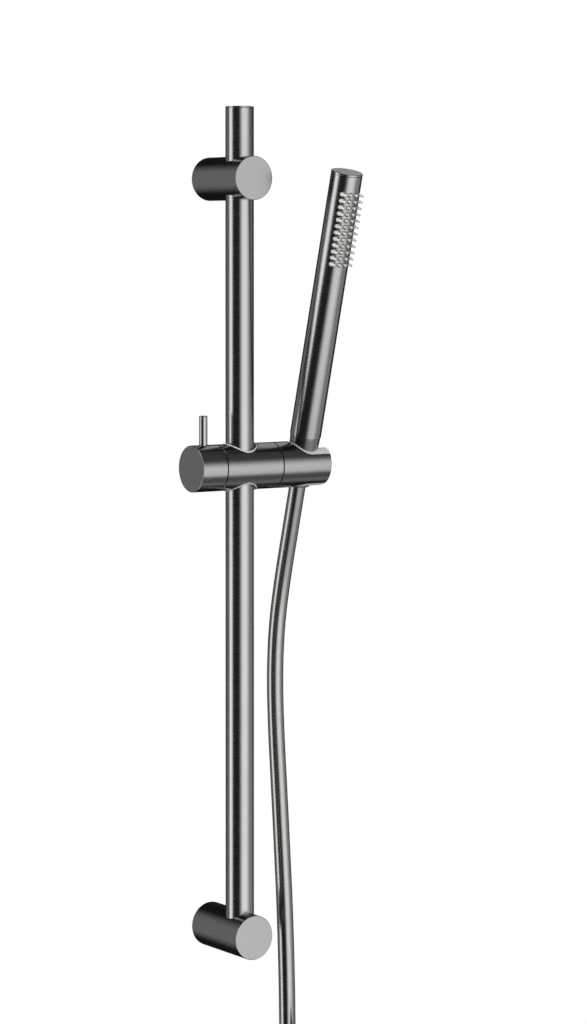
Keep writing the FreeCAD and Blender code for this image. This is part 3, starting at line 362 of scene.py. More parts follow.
def hole_edge(half, centre, hole, side, width):
    """Rounded edge of a drilled half's hole: a quarter round from the rim on the bar into the hole.

    With q from 0 to 90 degrees the radius is r - w sin q and the depth below the bar is w (1 - cos q).
    The last row is the circle where the straight wall of the hole starts.
    """
    rim = half[0]
    quarter = QUARTER_TURN[:, None]
    shrink = 1 - width * np.sin(quarter) / hole
    across = rim[:, 0] * shrink
    along = centre + (rim[:, 2] - centre) * shrink
    depth = rim[:, 1] - side * width * (1 - np.cos(quarter))
    return np.stack([across, depth, along], axis=-1)


def drilled(radius, low, high, centre, hole, side, width, along=24):
    """Half of a bar with a hole whose edge is broken by a width: the half bar and that edge."""
    half = drilled_half(radius, low, high, centre, hole + width, side, along)
    return half, hole_edge(half, centre, hole + width, side, width)


def through_hole(half, edge):
    """The other side of a bar that is drilled right through, and the straight wall of the hole."""
    rim = edge[-1]
    return [half * OTHER_SIDE, edge * OTHER_SIDE, ruled(rim, rim * OTHER_SIDE, 8)]


def blind_hole(rim, centre, floor):
    """Wall from a rim straight down to a floor, and the floor as lines from its edge to its middle."""
    foot = rim.copy()
    foot[:, 1] = floor
    hub = np.zeros_like(foot) + np.array([0, floor, centre])
    return [ruled(rim, foot, 3), ruled(foot, hub, 2)]


def plain_bar(radius, low, high, low_round, high_round):
    """A whole turned bar or disc with rounded edges."""
    corners = [(0, low), (radius, low), (radius, high), (0, high)]
    return turned(rounded(corners, [0, low_round, high_round, 0]))


def end_face(radius, start, end, edge_round):
    """Last stretch of a bar, from start to its end, with a rounded edge and a flat face."""
    return turned(rounded([(radius, start), (radius, end), (0, end)], [0, edge_round, 0]))


def ends_of_bar(radius, low, high, low_round, high_round, back):
    """Both ends of a bar from low to high, and where its plain length starts and ends."""
    start = low + back
    end = high - back
    faces = [end_face(radius, start, low, low_round), end_face(radius, end, high, high_round)]
    return faces, start, end


def seat(points, axes, origin):
    """Local points in the part's frame: the origin plus each coordinate along its own axis."""
    return points @ np.array(axes, float) + np.array(origin, float)


def tube(path, radius, segments=40):
    """Round section carried along a path: P + r (N cos t + B sin t), with N square to the path near X.

    The ends are closed by lines to the path's own end points.
    """
    tangent = np.gradient(path, axis=0)
    tangent = tangent / np.linalg.norm(tangent, axis=1, keepdims=True)
    normal = np.array([1.0, 0, 0]) - tangent[:, :1] * tangent
    normal = normal / np.linalg.norm(normal, axis=1, keepdims=True)
    across = np.cross(tangent, normal)
    turn = np.linspace(0, 2 * math.pi, segments + 1)[:, None]
    wall = path[:, None] + radius * (normal[:, None] * np.cos(turn) + across[:, None] * np.sin(turn))
    first = ruled(wall[0], 0 * wall[0] + path[0], 2)
    last = ruled(wall[-1], 0 * wall[-1] + path[-1], 2)
    return [wall, first, last]


# Meshes, riding and finishes


def grid_quads(rows, columns, start=0):
    """Corners of the quads between neighbours of a grid, with its points counted from start."""
    corner = start + np.arange(rows * columns).reshape(rows, columns)
    quads = np.stack([corner[:-1, :-1], corner[:-1, 1:], corner[1:, 1:], corner[1:, :-1]], axis=-1)
    return quads.reshape(-1, 4)


def make_piece(name, patches):
    """One closed mesh object from grids of points: quads between neighbours, welded where grids meet."""
    points = []
    quads = []
    start = 0
    for patch in patches:
        rows, columns = patch.shape[:2]
        quads.append(grid_quads(rows, columns, start))
        points.append(patch.reshape(-1, 3))
        start += rows * columns
    mesh = bpy.data.meshes.new(name)
    mesh.from_pydata(np.concatenate(points).tolist(), [], np.concatenate(quads).tolist())
    work = bmesh.new()
    work.from_mesh(mesh)
    bmesh.ops.remove_doubles(work, verts=work.verts, dist=WELD)
    bmesh.ops.dissolve_degenerate(work, edges=work.edges, dist=WELD / 10)
    bmesh.ops.recalc_face_normals(work, faces=work.faces)
    work.to_mesh(mesh)
    work.free()
    mesh.polygons.foreach_set("use_smooth", np.ones(len(mesh.polygons), bool))
    mesh.set_sharp_from_angle(angle=SHARP_ANGLE)
    piece = bpy.data.objects.new(name, mesh)
    bpy.context.scene.collection.objects.link(piece)
    return piece


def dress(name, patches, finish, body, *nodes):
    """A piece that rides on a body in place of its CAD nodes and wears a finish."""
    piece = make_piece(name, patches)
    piece.data.materials.append(bpy.data.materials[finish])
    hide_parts(*nodes)
    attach(piece, body)
    return piece


def leaning(points, offset=0):
    """Points of the holder's own frame: turned about X by the handset's lean, at the slider's axis."""
    lean = sizes().lean
    turn = [(1, 0, 0), (0, math.cos(lean), math.sin(lean)), (0, -math.sin(lean), math.cos(lean))]
    return seat(points, turn, (offset, RAIL_Y, SLIDER_Z))


def on_slider(patches):
    """Grids turned on the slider's axis, in the part's frame."""
    return [seat(patch, SLIDER_AXES, (0, RAIL_Y, SLIDER_Z)) for patch in patches]


def on_holder(patches):
    """Grids turned on the slider's axis, leaning with the handset."""
    return [leaning(patch @ SLIDER_AXES) for patch in patches]


def on_handset(patches):
    """Grids round the handset's axis, leaning with it."""
    return [leaning(patch, HANDSET_X) for patch in patches]


def sizes():
    """The sizes kept on the scene."""
    return bpy.context.scene.slide_rail_sizes


def colours():
    """The colours kept on the scene."""
    return bpy.context.scene.slide_rail_colours


def add(tree, kind, inputs=None, **settings):
    """Adds a node, sets its own settings, and sets or links its inputs."""
    node = tree.nodes.new(kind)
    for name, value in settings.items():
        setattr(node, name, value)
    for name, value in (inputs or {}).items():
        if isinstance(value, bpy.types.NodeSocket):
            tree.links.new(value, node.inputs[name])
        else:
            node.inputs[name].default_value = value
    return node


def shade(colour, share=1):
    """A colour times a share, with a full alpha."""
    return [share * channel for channel in colour] + [1]


def new_finish(name):
    """The empty node tree of a new material."""
    material = bpy.data.materials.new(name)
    material.use_nodes = True
    material.node_tree.nodes.clear()
    return material.node_tree


def noise(tree, place, cell, detail):
    """Noise at a place, with cells of about one size."""
    return add(tree, "ShaderNodeTexNoise", {
        "Vector": place, "Scale": 1 / cell, "Detail": detail}).outputs["Fac"]


def mottled(tree, cloud, colour, share):
    """A colour that goes over to a darker share of itself where a cloud is thick."""
    return add(tree, "ShaderNodeMix", {
        "Factor": cloud, "A": shade(colour), "B": shade(colour, share)}, data_type="RGBA").outputs["Result"]


def textured_surface(tree, texture, gloss, relief, look):
    """The surface of a finish, whose roughness and fine relief both follow a texture."""
    roughness = add(tree, "ShaderNodeMapRange", {"Value": texture, **gloss}).outputs["Result"]
    normal = add(tree, "ShaderNodeBump", {"Height": texture, **relief}).outputs["Normal"]
    surface = add(tree, "ShaderNodeBsdfPrincipled", {"Roughness": roughness, "Normal": normal, **look})
    add(tree, "ShaderNodeOutputMaterial", {"Surface": surface.outputs["BSDF"]})


def brushed_gunmetal(name, grain_axis):
    """Stainless steel, brushed round its axis and coated grey in vapour: satin bands with a fine grain.

    Real brush lines are about 0.05 mm apart. They are drawn 0.5 mm apart, so that they show at this size.
    """
    line_spacing = 0.5 * MM
    line_length = 12 * MM
    cloud_width = 40 * MM
    scale = [1 / line_length] * 3
    scale["XYZ".index(grain_axis)] = 1 / line_spacing
    tree = new_finish(name)
    place = add(tree, "ShaderNodeTexCoord").outputs["Object"]
    stretched = add(tree, "ShaderNodeMapping", {"Vector": place, "Scale": scale}).outputs["Vector"]
    lines = noise(tree, stretched, 1.0, 3.0)
    tint = mottled(tree, noise(tree, place, cloud_width, 2.0), colours().gunmetal, 0.94)
    textured_surface(
        tree, lines, {"From Min": 0.3, "From Max": 0.7, "To Min": 0.2, "To Max": 0.24},
        {"Strength": 0.015, "Distance": 0.02 * MM}, {"Base Color": tint, "Metallic": 1.0})


def machined_metal(name, colour, mark_spacing):
    """Bare metal off a lathe: bright, with faint tool marks and a slight change of gloss."""
    tree = new_finish(name)
    place = add(tree, "ShaderNodeTexCoord").outputs["Object"]
    marks = noise(tree, place, mark_spacing, 4.0)
    textured_surface(
        tree, marks, {"To Min": 0.2, "To Max": 0.36}, {"Strength": 0.06, "Distance": 0.02 * MM},
        {"Base Color": shade(colour), "Metallic": 1.0})


def moulded_polymer(name, colour, index, gloss_low, gloss_high, grain):
    """Injection-moulded polymer or rubber: an even colour, a soft sheen and the mould's fine texture."""
    cloud_width = 15 * MM
    tree = new_finish(name)
    place = add(tree, "ShaderNodeTexCoord").outputs["Object"]
    texture = noise(tree, place, grain, 3.0)
    tint = mottled(tree, noise(tree, place, cloud_width, 2.0), colour, 0.95)
    textured_surface(
        tree, texture, {"To Min": gloss_low, "To Max": gloss_high},
        {"Strength": 0.08, "Distance": 0.03 * MM}, {"Base Color": tint, "IOR": index})


def drawn_hose_skin(name):
    """Extruded PVC over a metallised film: a smooth grey metal look with a slightly uneven, soft gloss."""
    flow_width = 9 * MM
    tree = new_finish(name)
    place = add(tree, "ShaderNodeTexCoord").outputs["Object"]
    flow = noise(tree, place, flow_width, 3.0)
    tint = mottled(tree, flow, colours().hose, 0.93)
    textured_surface(
        tree, flow, {"To Min": 0.19, "To Max": 0.25}, {"Strength": 0.05, "Distance": 0.05 * MM},
        {"Base Color": tint, "Metallic": 1.0})


class SLIDE_RAIL_OT_finishes(bpy.types.Operator):
    """Make the finishes and put them on the CAD nodes that stay in view"""
    bl_idname = "slide_rail.finishes"
    bl_label = "Finishes"

    # finish of the CAD nodes in each material slot
    WORN = {
        "gunmetal": "brushed_gunmetal_z", "steel": "turned_stainless_steel", "brass": "turned_brass",
        "pale_nylon": "moulded_pale_nylon", "dark_acetal": "moulded_dark_acetal",
        "silicone": "moulded_silicone", "seal_rubber": "moulded_seal_rubber", "hose_pvc": "drawn_hose_skin"}

    def execute(self, context):
        colour = colours()
        tool_marks = 1.2 * MM
        for axis in "XYZ":
            brushed_gunmetal("brushed_gunmetal_" + axis.lower(), axis)
        machined_metal("turned_stainless_steel", colour.steel, tool_marks)
        machined_metal("turned_brass", colour.brass, tool_marks)
        # index of refraction, lowest and highest roughness, and grain of the mould
        moulded_polymer("moulded_pale_nylon", colour.nylon, 1.53, 0.38, 0.5, 0.6 * MM)
        moulded_polymer("moulded_dark_acetal", colour.acetal, 1.48, 0.34, 0.46, 0.6 * MM)
        moulded_polymer("moulded_silicone", colour.silicone, 1.41, 0.42, 0.55, 0.5 * MM)
        moulded_polymer("moulded_seal_rubber", colour.rubber, 1.52, 0.5, 0.65, 0.5 * MM)
        drawn_hose_skin("drawn_hose_skin")
        for name, node in frame["nodes"].items():
            node.data.materials.clear()
            node.data.materials.append(bpy.data.materials[self.WORN[SLOT_OF[name]]])
        return {"FINISHED"}


class SLIDE_RAIL_OT_rail(bpy.types.Operator):
    """Turn the rail tube and its top cap"""
    bl_idname = "slide_rail.rail"
    bl_label = "Rail"

    def execute(self, context):
        radius = sizes().rail_diameter / 2
        seam = sizes().seam_round
        back = 1 * MM
        foot, top = span("rail_tube", "Z")
        crown = span("rail_top_cap", "Z")[1]
        side = np.linspace(foot + back, top - back, 60)
        wall = np.stack([np.full_like(side, radius), side], axis=-1)
        end_low = rounded([(0, foot), (radius, foot), wall[0]], [0, seam, 0])
        end_high = rounded([wall[-1], (radius, top), (0, top)], [0, seam, 0])
        tube_profile = np.concatenate([end_low[:-1], wall, end_high[1:]])
        origin = (0, RAIL_Y, 0)
        dress("rail_tube_drawn", [turned(tube_profile) + origin], "brushed_gunmetal_z", "rail", "rail_tube")
        cap = plain_bar(radius, top, crown, seam, sizes().edge_round)
        dress("rail_cap_turned", [cap + origin], "brushed_gunmetal_z", "rail", "rail_top_cap")
        return {"FINISHED"}


class SLIDE_RAIL_OT_brackets(bpy.types.Operator):
    """Turn the two wall brackets with their rail holes, grub holes and wall sockets"""
    bl_idname = "slide_rail.brackets"
    bl_label = "Brackets"

    def execute(self, context):
        for node in ("upper_bracket", "lower_bracket"):
            self.bracket(node, through=node == "upper_bracket")
        return {"FINISHED"}

    def bracket(self, node, through):
        """One bracket in its own frame, with height from the wall as local Z."""
        size = sizes()
        radius = size.bracket_diameter / 2
        hole = size.bracket_hole / 2
        screw = size.grub_hole / 2
        socket = size.bracket_socket / 2
        length = -span(node, "Y")[0]
        rail = -RAIL_Y
        rail_floor = -6 * MM
        grub = 7 * MM
        grub_floor = -12.5 * MM
        socket_depth = 14 * MM
        break_width = 0.12 * MM
        start = 1 * MM
        split = 18 * MM
        end = length - 1.2 * MM
        back = rounded(
            [(radius, start), (radius, 0), (socket, 0), (socket, socket_depth), (0, socket_depth)],
            [0, size.seam_round, size.seam_round, 0, 0])
        front = end_face(radius, end, length, size.edge_round)
        under, under_edge = drilled(radius, start, split, grub, screw, -1, SCREW_EDGE)
        top, edge = drilled(radius, split, end, rail, hole, 1, break_width)
        patches = [turned(back), front, plain_half(radius, start, split, 1)]
        patches += [under, under_edge] + blind_hole(under_edge[-1], grub, grub_floor)
        patches += [top, edge]
        if through:
            patches += through_hole(top, edge)
        else:
            patches += [plain_half(radius, split, end, -1)] + blind_hole(edge[-1], rail, rail_floor)
        placed = [seat(patch, WALL_AXES, (0, 0, middle(node, "Z"))) for patch in patches]
        dress(node + "_turned", placed, "brushed_gunmetal_y", "rail", node)


class SLIDE_RAIL_OT_slider(bpy.types.Operator):
    """Turn the slider body with its cross hole, and mould the bush in it"""
    bl_idname = "slide_rail.slider"
    bl_label = "Slider"

    def execute(self, context):
        size = sizes()
        radius = size.slider_diameter / 2
        hole = size.slider_hole / 2
        break_width = 0.3 * MM
        back = 1 * MM
        low = span("knob_seam_washer", "X")[1]
        high = span("holder_seam_washer", "X")[0]
        ends, start, end = ends_of_bar(radius, low, high, size.seam_round, size.seam_round, back)
        top, edge = drilled(radius, start, end, 0, hole, 1, break_width, along=32)
        patches = ends + [top, edge] + through_hole(top, edge)
        dress("slider_body_turned", on_slider(patches), "brushed_gunmetal_x", "slider", "slider_body")
        self.bush(size)
        return {"FINISHED"}

    def bush(self, size):
        """Ring whose ends follow the slider's round: at (r cos t, r sin t) the end is at sqrt(R^2 - y^2)."""
        outer = size.bush_diameter / 2
        inner = size.bush_bore / 2
        bar = size.slider_diameter / 2 + size.bush_proud
        edge = 0.12 * MM
        lip = 0.42 * MM
        inner_drop = 2.5 * MM
        turn = np.linspace(0, 2 * math.pi, 129)
        radii = np.array([inner, outer - lip - edge, outer - lip, outer - edge, outer])[:, None]
        drop = np.array([inner_drop, edge, 0, 0, edge])[:, None]
        across = radii * np.cos(turn)
        out = radii * np.sin(turn)
        top = np.stack([across, out, np.sqrt(bar ** 2 - out ** 2) - drop], axis=-1)
        foot = top * np.array([1, 1, -1])
        patches = [top, foot, ruled(top[0], foot[0], 12), ruled(top[-1], foot[-1], 12)]
        placed = [patch + (0, RAIL_Y, SLIDER_Z) for patch in patches]
        dress("slider_bush_moulded", placed, "moulded_pale_nylon", "slider", "slider_bush")


class SLIDE_RAIL_OT_lock(bpy.types.Operator):
    """Turn the locking knob and its pin lever"""
    bl_idname = "slide_rail.lock"
    bl_label = "Lock"

    def execute(self, context):
        size = sizes()
        radius = size.slider_diameter / 2
        low, high = span("lock_knob", "X")
        lever_x = middle("lock_lever", "X")
        lever_foot, lever_top = span("lock_lever", "Z")
        grub_x = middle("knob_grub_screw", "X")
        grub_floor = -9 * MM
        clearance = 0.1 * MM
        break_width = 0.25 * MM
        back = 1.2 * MM
        pin = size.lever_diameter / 2
        screw = size.knob_grub_hole / 2
        ends, start, end = ends_of_bar(radius, low, high, size.edge_round, size.seam_round, back)
        top, edge = drilled(radius, start, end, lever_x, pin + clearance, 1, break_width)
        under, under_edge = drilled(radius, start, end, grub_x, screw, -1, SCREW_EDGE)
        patches = ends + [top, edge, under, under_edge]
        patches += blind_hole(edge[-1], lever_x, lever_foot - SLIDER_Z)
        patches += blind_hole(under_edge[-1], grub_x, grub_floor)
        dress("lock_knob_turned", on_slider(patches), "brushed_gunmetal_x", "lock", "lock_knob")
        lever = plain_bar(pin, lever_foot, lever_top, size.seam_round, size.edge_round)
        place = (lever_x, RAIL_Y, 0)
        dress("lock_lever_turned", [lever + place], "brushed_gunmetal_z", "lock", "lock_lever")
        return {"FINISHED"}


class SLIDE_RAIL_OT_holder(bpy.types.Operator):
    """Turn the slotted handset holder and mould the liner in its slot"""
    bl_idname = "slide_rail.holder"
    bl_label = "Holder"

    def execute(self, context):
        size = sizes()
        self.shell(size)
        self.liner(size)
        return {"FINISHED"}

    def shell(self, size):
        """Round bar with a U-shaped slot from its free end.

        Seen from above the slot's border is a half circle round the handset's axis and two straight sides.
        Straight lines in the unrolled plane run from it to the border of the half bar.
        """
        radius = size.slider_diameter / 2
        half = size.slot_width / 2
        quarter = radius * math.pi / 2
        edge_width = 0.3 * MM
        low, high = span("handset_holder", "X")
        back = 1 * MM
        start = low + back
        rings = 12
        flank = 10
        straight = 14
        bend = ACROSS + 2 * (flank - straight)
        turn = np.linspace(math.pi / 2, 3 * math.pi / 2, bend + 1)
        run = np.linspace(high, HANDSET_X, straight + 1)[:-1]
        side = np.full(straight, half)
        slot_across = np.concatenate([side, half * np.sin(turn), -side])
        slot_along = np.concatenate([run, HANDSET_X + half * np.cos(turn), run[::-1]])
        slot = np.stack([radius * np.arcsin(slot_across / radius), slot_along], axis=-1)
        rise = np.linspace(high, start, flank + 1)
        cross = np.linspace(quarter, -quarter, ACROSS + 1)
        border_arc = np.concatenate([np.full(flank, quarter), cross, np.full(flank, -quarter)])
        border_along = np.concatenate([rise[:-1], np.full(ACROSS + 1, start), rise[-2::-1]])
        flat = ruled(slot, np.stack([border_arc, border_along], axis=-1), rings)
        top = rolled(radius, flat[..., 0], flat[..., 1], 1)
        foot = top * OTHER_SIDE
        wall = ruled(top[0], foot[0], 2 * rings)
        cheeks = []
        for column in (0, -1):
            rim = np.concatenate([top[:, column], foot[::-1, column][1:]])
            cheeks.append(ruled(wall[:, column], rim, 4))
        neck = end_face(radius, start, low, size.seam_round)
        patches = on_holder([top, foot, wall, neck] + cheeks)
        piece = dress("handset_holder_turned", patches, "brushed_gunmetal_x", "holder", "handset_holder")
        self.soften(piece, edge_width)

    def liner(self, size):
        """U-shaped lining, flush with the bar.

        Its inner border is the seat's cone, of radius r0 + k z round the handset's axis, then the straight
        mouth and its flare; its outer border is the slot's. Each end is at the bar's height sqrt(R^2 - y^2).
        """
        inset = 0.3 * MM
        gap = 0.1 * MM
        edge_width = 0.25 * MM
        bar = size.slider_diameter / 2 - inset
        outer = size.liner_width / 2
        mouth = size.mouth_width / 2
        high = span("handset_holder", "X")[1]
        slope = (size.nut_top - size.nut_foot) / 2 / (size.handset_foot - NUT_GAP + size.nut_drop)
        share = np.linspace(-1, 1, 49)
        straight = 8
        rounds = 8

        def inner_border(side):
            """Inner border at the bar's upper (side 1) or lower (side -1) surface.

            Its radius depends on the height and the height on the radius, so a few rounds settle both.
            """
            height = side * bar
            for _ in range(rounds):
                radius = size.nut_foot / 2 + gap + (height + size.nut_drop) * slope
                reach = math.pi - np.arcsin(mouth / radius)
                across = radius * np.sin(share * reach)
                height = side * np.sqrt(bar ** 2 - across ** 2)
            along = HANDSET_X - radius * np.cos(share * reach)
            return across, along

        def border(side, inside):
            """Whole border, inner or outer, as points on the bar's surface."""
            if inside:
                across, along = inner_border(side)
                throat = np.linspace(high - size.mouth_flare, along[0], straight + 1)[:-1]
                ahead = np.concatenate([[high], throat])
                wide = np.concatenate([[mouth + size.mouth_flare], np.full(straight, mouth)])
            else:
                across = outer * np.sin(share * math.pi / 2)
                along = HANDSET_X - outer * np.cos(share * math.pi / 2)
                ahead = np.linspace(high, HANDSET_X, straight + 2)[:-1]
                wide = np.full(straight + 1, outer)
            across = np.concatenate([-wide, across, wide[::-1]])
            along = np.concatenate([ahead, along, ahead[::-1]])
            return np.stack([across, side * np.sqrt(bar ** 2 - across ** 2), along], axis=-1)

        def face(start, end, side):
            """End face between the borders, every point lifted to the bar's surface."""
            sheet = ruled(start, end, 4)
            sheet[..., 1] = side * np.sqrt(bar ** 2 - sheet[..., 0] ** 2)
            return sheet

        top = face(border(1, True), border(1, False), 1)
        foot = face(border(-1, True), border(-1, False), -1)
        seat_wall = ruled(top[0], foot[0], 12)
        outer_wall = ruled(top[-1], foot[-1], 12)
        patches = [top, foot, seat_wall, outer_wall]
        for column in (0, -1):
            end = ruled(seat_wall[:, column], outer_wall[:, column], 4)
            end[:, 0] = top[:, column]
            end[:, -1] = foot[:, column]
            patches.append(end)
        piece = dress(
            "holder_liner_moulded", on_holder(patches), "moulded_pale_nylon", "holder", "holder_liner")
        self.soften(piece, edge_width)

    def soften(self, piece, width):
        """Small rounds on the sharp edges, with flat faces kept flat in the shading."""
        bevel = piece.modifiers.new("broken_edges", "BEVEL")
        bevel.width = width
        bevel.segments = 2
        bevel.limit_method = "ANGLE"
        bevel.angle_limit = math.radians(40)
        bevel.harden_normals = True


class SLIDE_RAIL_OT_handset(bpy.types.Operator):
    """Make the stick handset: tube with nozzle holes, end cap, soft nozzles and cone nut"""
    bl_idname = "slide_rail.handset"
    bl_label = "Handset"

    # steps along a side of a nozzle's cell, and round the tube behind the field of cells
    CELL_SIDE = 6
    BACK = 48

    def execute(self, context):
        size = sizes()
        self.tube_and_cap(size)
        self.nozzles(size)
        self.cone_nut(size)
        return {"FINISHED"}

    def cells(self, size, radius, hole):
        """Square cells round the nozzle places, seen along the nozzles and wrapped on a tube.

        In the plane (x, z) straight lines run from a circle to its square, and y is -sqrt(R^2 - x^2).
        The circle may have its own radius in each column.
        """
        half = size.nozzle_pitch / 2
        step = np.linspace(-half, half, self.CELL_SIDE + 1)[:-1]
        flat = np.full(self.CELL_SIDE, half)
        border_x = np.concatenate([step, flat, -step, -flat, [-half]])
        border_z = np.concatenate([-flat, step, flat, -step, [-half]])
        turn = np.arctan2(border_z, border_x)
        centre_x, centre_z = self.places(size)
        hole = np.broadcast_to(hole, centre_x.shape)[:, None]
        rim = np.stack([hole * np.cos(turn), hole * np.sin(turn)], axis=-1)
        border = np.broadcast_to(np.stack([border_x, border_z], axis=-1), rim.shape)
        sheet = np.moveaxis(ruled(rim, border, 4), 0, 1)
        x = centre_x[:, None, None] + sheet[..., 0]
        z = centre_z[:, None, None] + sheet[..., 1]
        return np.stack([x, -np.sqrt(radius ** 2 - x ** 2), z], axis=-1)

    def places(self, size):
        """Places of all nozzles across the tube and along it."""
        column = (np.arange(size.nozzle_columns) - (size.nozzle_columns - 1) / 2) * size.nozzle_pitch
        row = size.handset_top - size.nozzle_first - np.arange(size.nozzle_rows) * size.nozzle_pitch
        x, z = np.meshgrid(column, row)
        return x.ravel(), z.ravel()

    def field(self, size):
        """Lines of the field of cells: across, and along from its lowest to its highest."""
        wide = size.nozzle_columns * size.nozzle_pitch / 2
        high = size.handset_top - size.nozzle_first + size.nozzle_pitch / 2
        low = high - size.nozzle_rows * size.nozzle_pitch
        across = np.linspace(-wide, wide, size.nozzle_columns * self.CELL_SIDE + 1)
        return across, np.linspace(low, high, size.nozzle_rows * self.CELL_SIDE + 1)

    def skin(self, size, radius, foot, top):
        """Wall of the tube round the field of cells: (R sin a, -R cos a, z), in three grids."""
        across, along = self.field(size)
        front = np.arcsin(across / radius)
        back = np.linspace(front[-1], 2 * math.pi + front[0], self.BACK + 1)
        ring = np.concatenate([front, back[1:]])

        def wall(heights, angles):
            """Grid of the tube's wall at some heights and angles."""
            height, angle = np.meshgrid(heights, angles, indexing="ij")
            return np.stack([radius * np.sin(angle), -radius * np.cos(angle), height], axis=-1)

        below = wall(np.linspace(foot, along[0], 40), ring)
        beside = wall(along, back)
        above = wall(np.linspace(along[-1], top, 8), ring)
        return [below, beside, above]

    def tube_and_cap(self, size):
        """Tube with a hole for each nozzle, and the disc that closes its top."""
        outer = size.handset_diameter / 2
        inner = outer - size.handset_wall
        foot = size.handset_foot
        top = size.handset_top - size.handset_cap
        hole = size.nozzle_hole / 2
        rim_round = 0.25 * MM
        seam = size.seam_round
        back = 0.6 * MM
        outside = self.skin(size, outer, foot + back, top - back)
        inside = self.skin(size, inner, foot + back, top - back)
        patches = outside + inside
        out_cells = self.cells(size, outer, hole + rim_round)
        in_cells = self.cells(size, inner, hole)
        patches += list(out_cells) + list(in_cells)
        lip = ruled(out_cells[:, 0], in_cells[:, 0], 4)
        patches += list(np.moveaxis(lip, 0, 1))
        for sheet, inner_sheet, row, end, sign in (
                (outside[0], inside[0], 0, foot, 1), (outside[2], inside[2], -1, top, -1)):
            edge = sheet[row]
            arc_radius = outer - seam * (1 - np.cos(QUARTER_TURN))
            arc_height = end + sign * seam * (1 - np.sin(QUARTER_TURN))
            round_edge = edge * np.concatenate([[1], arc_radius / outer])[:, None, None]
            round_edge[..., 2] = np.concatenate([[edge[0, 2]], arc_height])[:, None]
            inner_edge = inner_sheet[row].copy()
            inner_edge[:, 2] = end
            patches += [round_edge, ruled(round_edge[-1], inner_edge, 2)]
            patches += [ruled(inner_edge, inner_sheet[row], 1)]
        dress("handset_tube_drilled", on_handset(patches), "brushed_gunmetal_z", "holder", "handset_body")
        cap = plain_bar(outer, top, size.handset_top, seam, size.edge_round)
        dress("handset_cap_turned", on_handset([cap]), "brushed_gunmetal_z", "holder", "handset_top_cap")

    def nozzles(self, size):
        """Curved mat with a field of tapered soft nozzles.

        A nozzle's radius falls evenly from root to tip; its end is the quarter round r = j + (t - j) cos q,
        y = reach - d (1 - sin q), and a fine jet hole of radius j goes down from there.
        """
        radius = size.mat_diameter / 2
        root = size.nozzle_root / 2
        tip = size.nozzle_tip / 2
        reach = size.nozzle_reach
        jet = 0.5 * MM
        dome = 0.5 * MM
        jet_depth = 3.0 * MM
        wide = (size.nozzle_columns - 1) * size.nozzle_pitch / 2
        root_plane = math.sqrt((size.mat_bore / 2) ** 2 - wide ** 2)
        centre_x, centre_z = self.places(size)

        def taper(depth):
            """Radius of a nozzle at a distance from the handset's axis."""
            return root + (tip - root) * (depth - root_plane) / (reach - root_plane)

        base = taper(np.sqrt(radius ** 2 - centre_x ** 2))
        cells = self.cells(size, radius, base)
        rim = cells[:, 0]
        middle_x = centre_x[:, None, None]
        middle_z = centre_z[:, None, None]
        turn_x = (rim[:, None, :, 0] - middle_x) / base[:, None, None]
        turn_z = (rim[:, None, :, 2] - middle_z) / base[:, None, None]
        share = np.linspace(0, 1, 7)[None, :, None]
        shoulder = reach - dome
        depth = -rim[:, None, :, 1] + (shoulder + rim[:, None, :, 1]) * share
        width = np.where(share > 0, taper(depth), base[:, None, None])
        quarter = np.linspace(0, math.pi / 2, 6)[1:]
        shoulder_width = taper(shoulder)
        end_width = np.concatenate([jet + (shoulder_width - jet) * np.cos(quarter), [jet, 0]])
        end_depth = np.concatenate([shoulder + dome * np.sin(quarter), [reach - jet_depth] * 2])
        end_shape = (len(centre_x), len(end_width), rim.shape[1])
        width = np.concatenate([width, np.broadcast_to(end_width[None, :, None], end_shape)], axis=1)
        depth = np.concatenate([depth, np.broadcast_to(end_depth[None, :, None], end_shape)], axis=1)
        nozzles = np.stack([middle_x + turn_x * width, -depth, middle_z + turn_z * width], axis=-1)
        across, along = self.field(size)
        x, z = np.meshgrid(across, along)
        front = np.stack([x, -np.sqrt(radius ** 2 - x ** 2), z], axis=-1)
        shrink = size.mat_bore / size.mat_diameter
        back = front * np.array([shrink, shrink, 1])
        patches = list(cells) + list(nozzles) + [back]
        for side in (np.s_[0], np.s_[-1], np.s_[:, 0], np.s_[:, -1]):
            patches.append(ruled(front[side], back[side], 1))
        dress("nozzle_mat_moulded", on_handset(patches), "moulded_silicone", "holder", "nozzle_mat")

    def cone_nut(self, size):
        """Tapered nut with a bore at its foot for the hose."""
        hose_gap = 0.25 * MM
        bore_depth = 7 * MM
        top = size.handset_foot - NUT_GAP
        foot = -size.nut_drop
        bore = size.hose_diameter / 2 + hose_gap
        bore_top = foot + bore_depth
        wide = size.nut_top / 2
        narrow = size.nut_foot / 2
        profile = rounded(
            [(0, top), (wide, top), (narrow, foot), (bore, foot), (bore, bore_top), (0, bore_top)],
            [0, size.seam_round, size.edge_round, size.seam_round, 0, 0])
        dress("hose_cone_nut_turned", on_handset([turned(profile)]), "brushed_gunmetal_z", "holder",
              "hose_cone_nut")


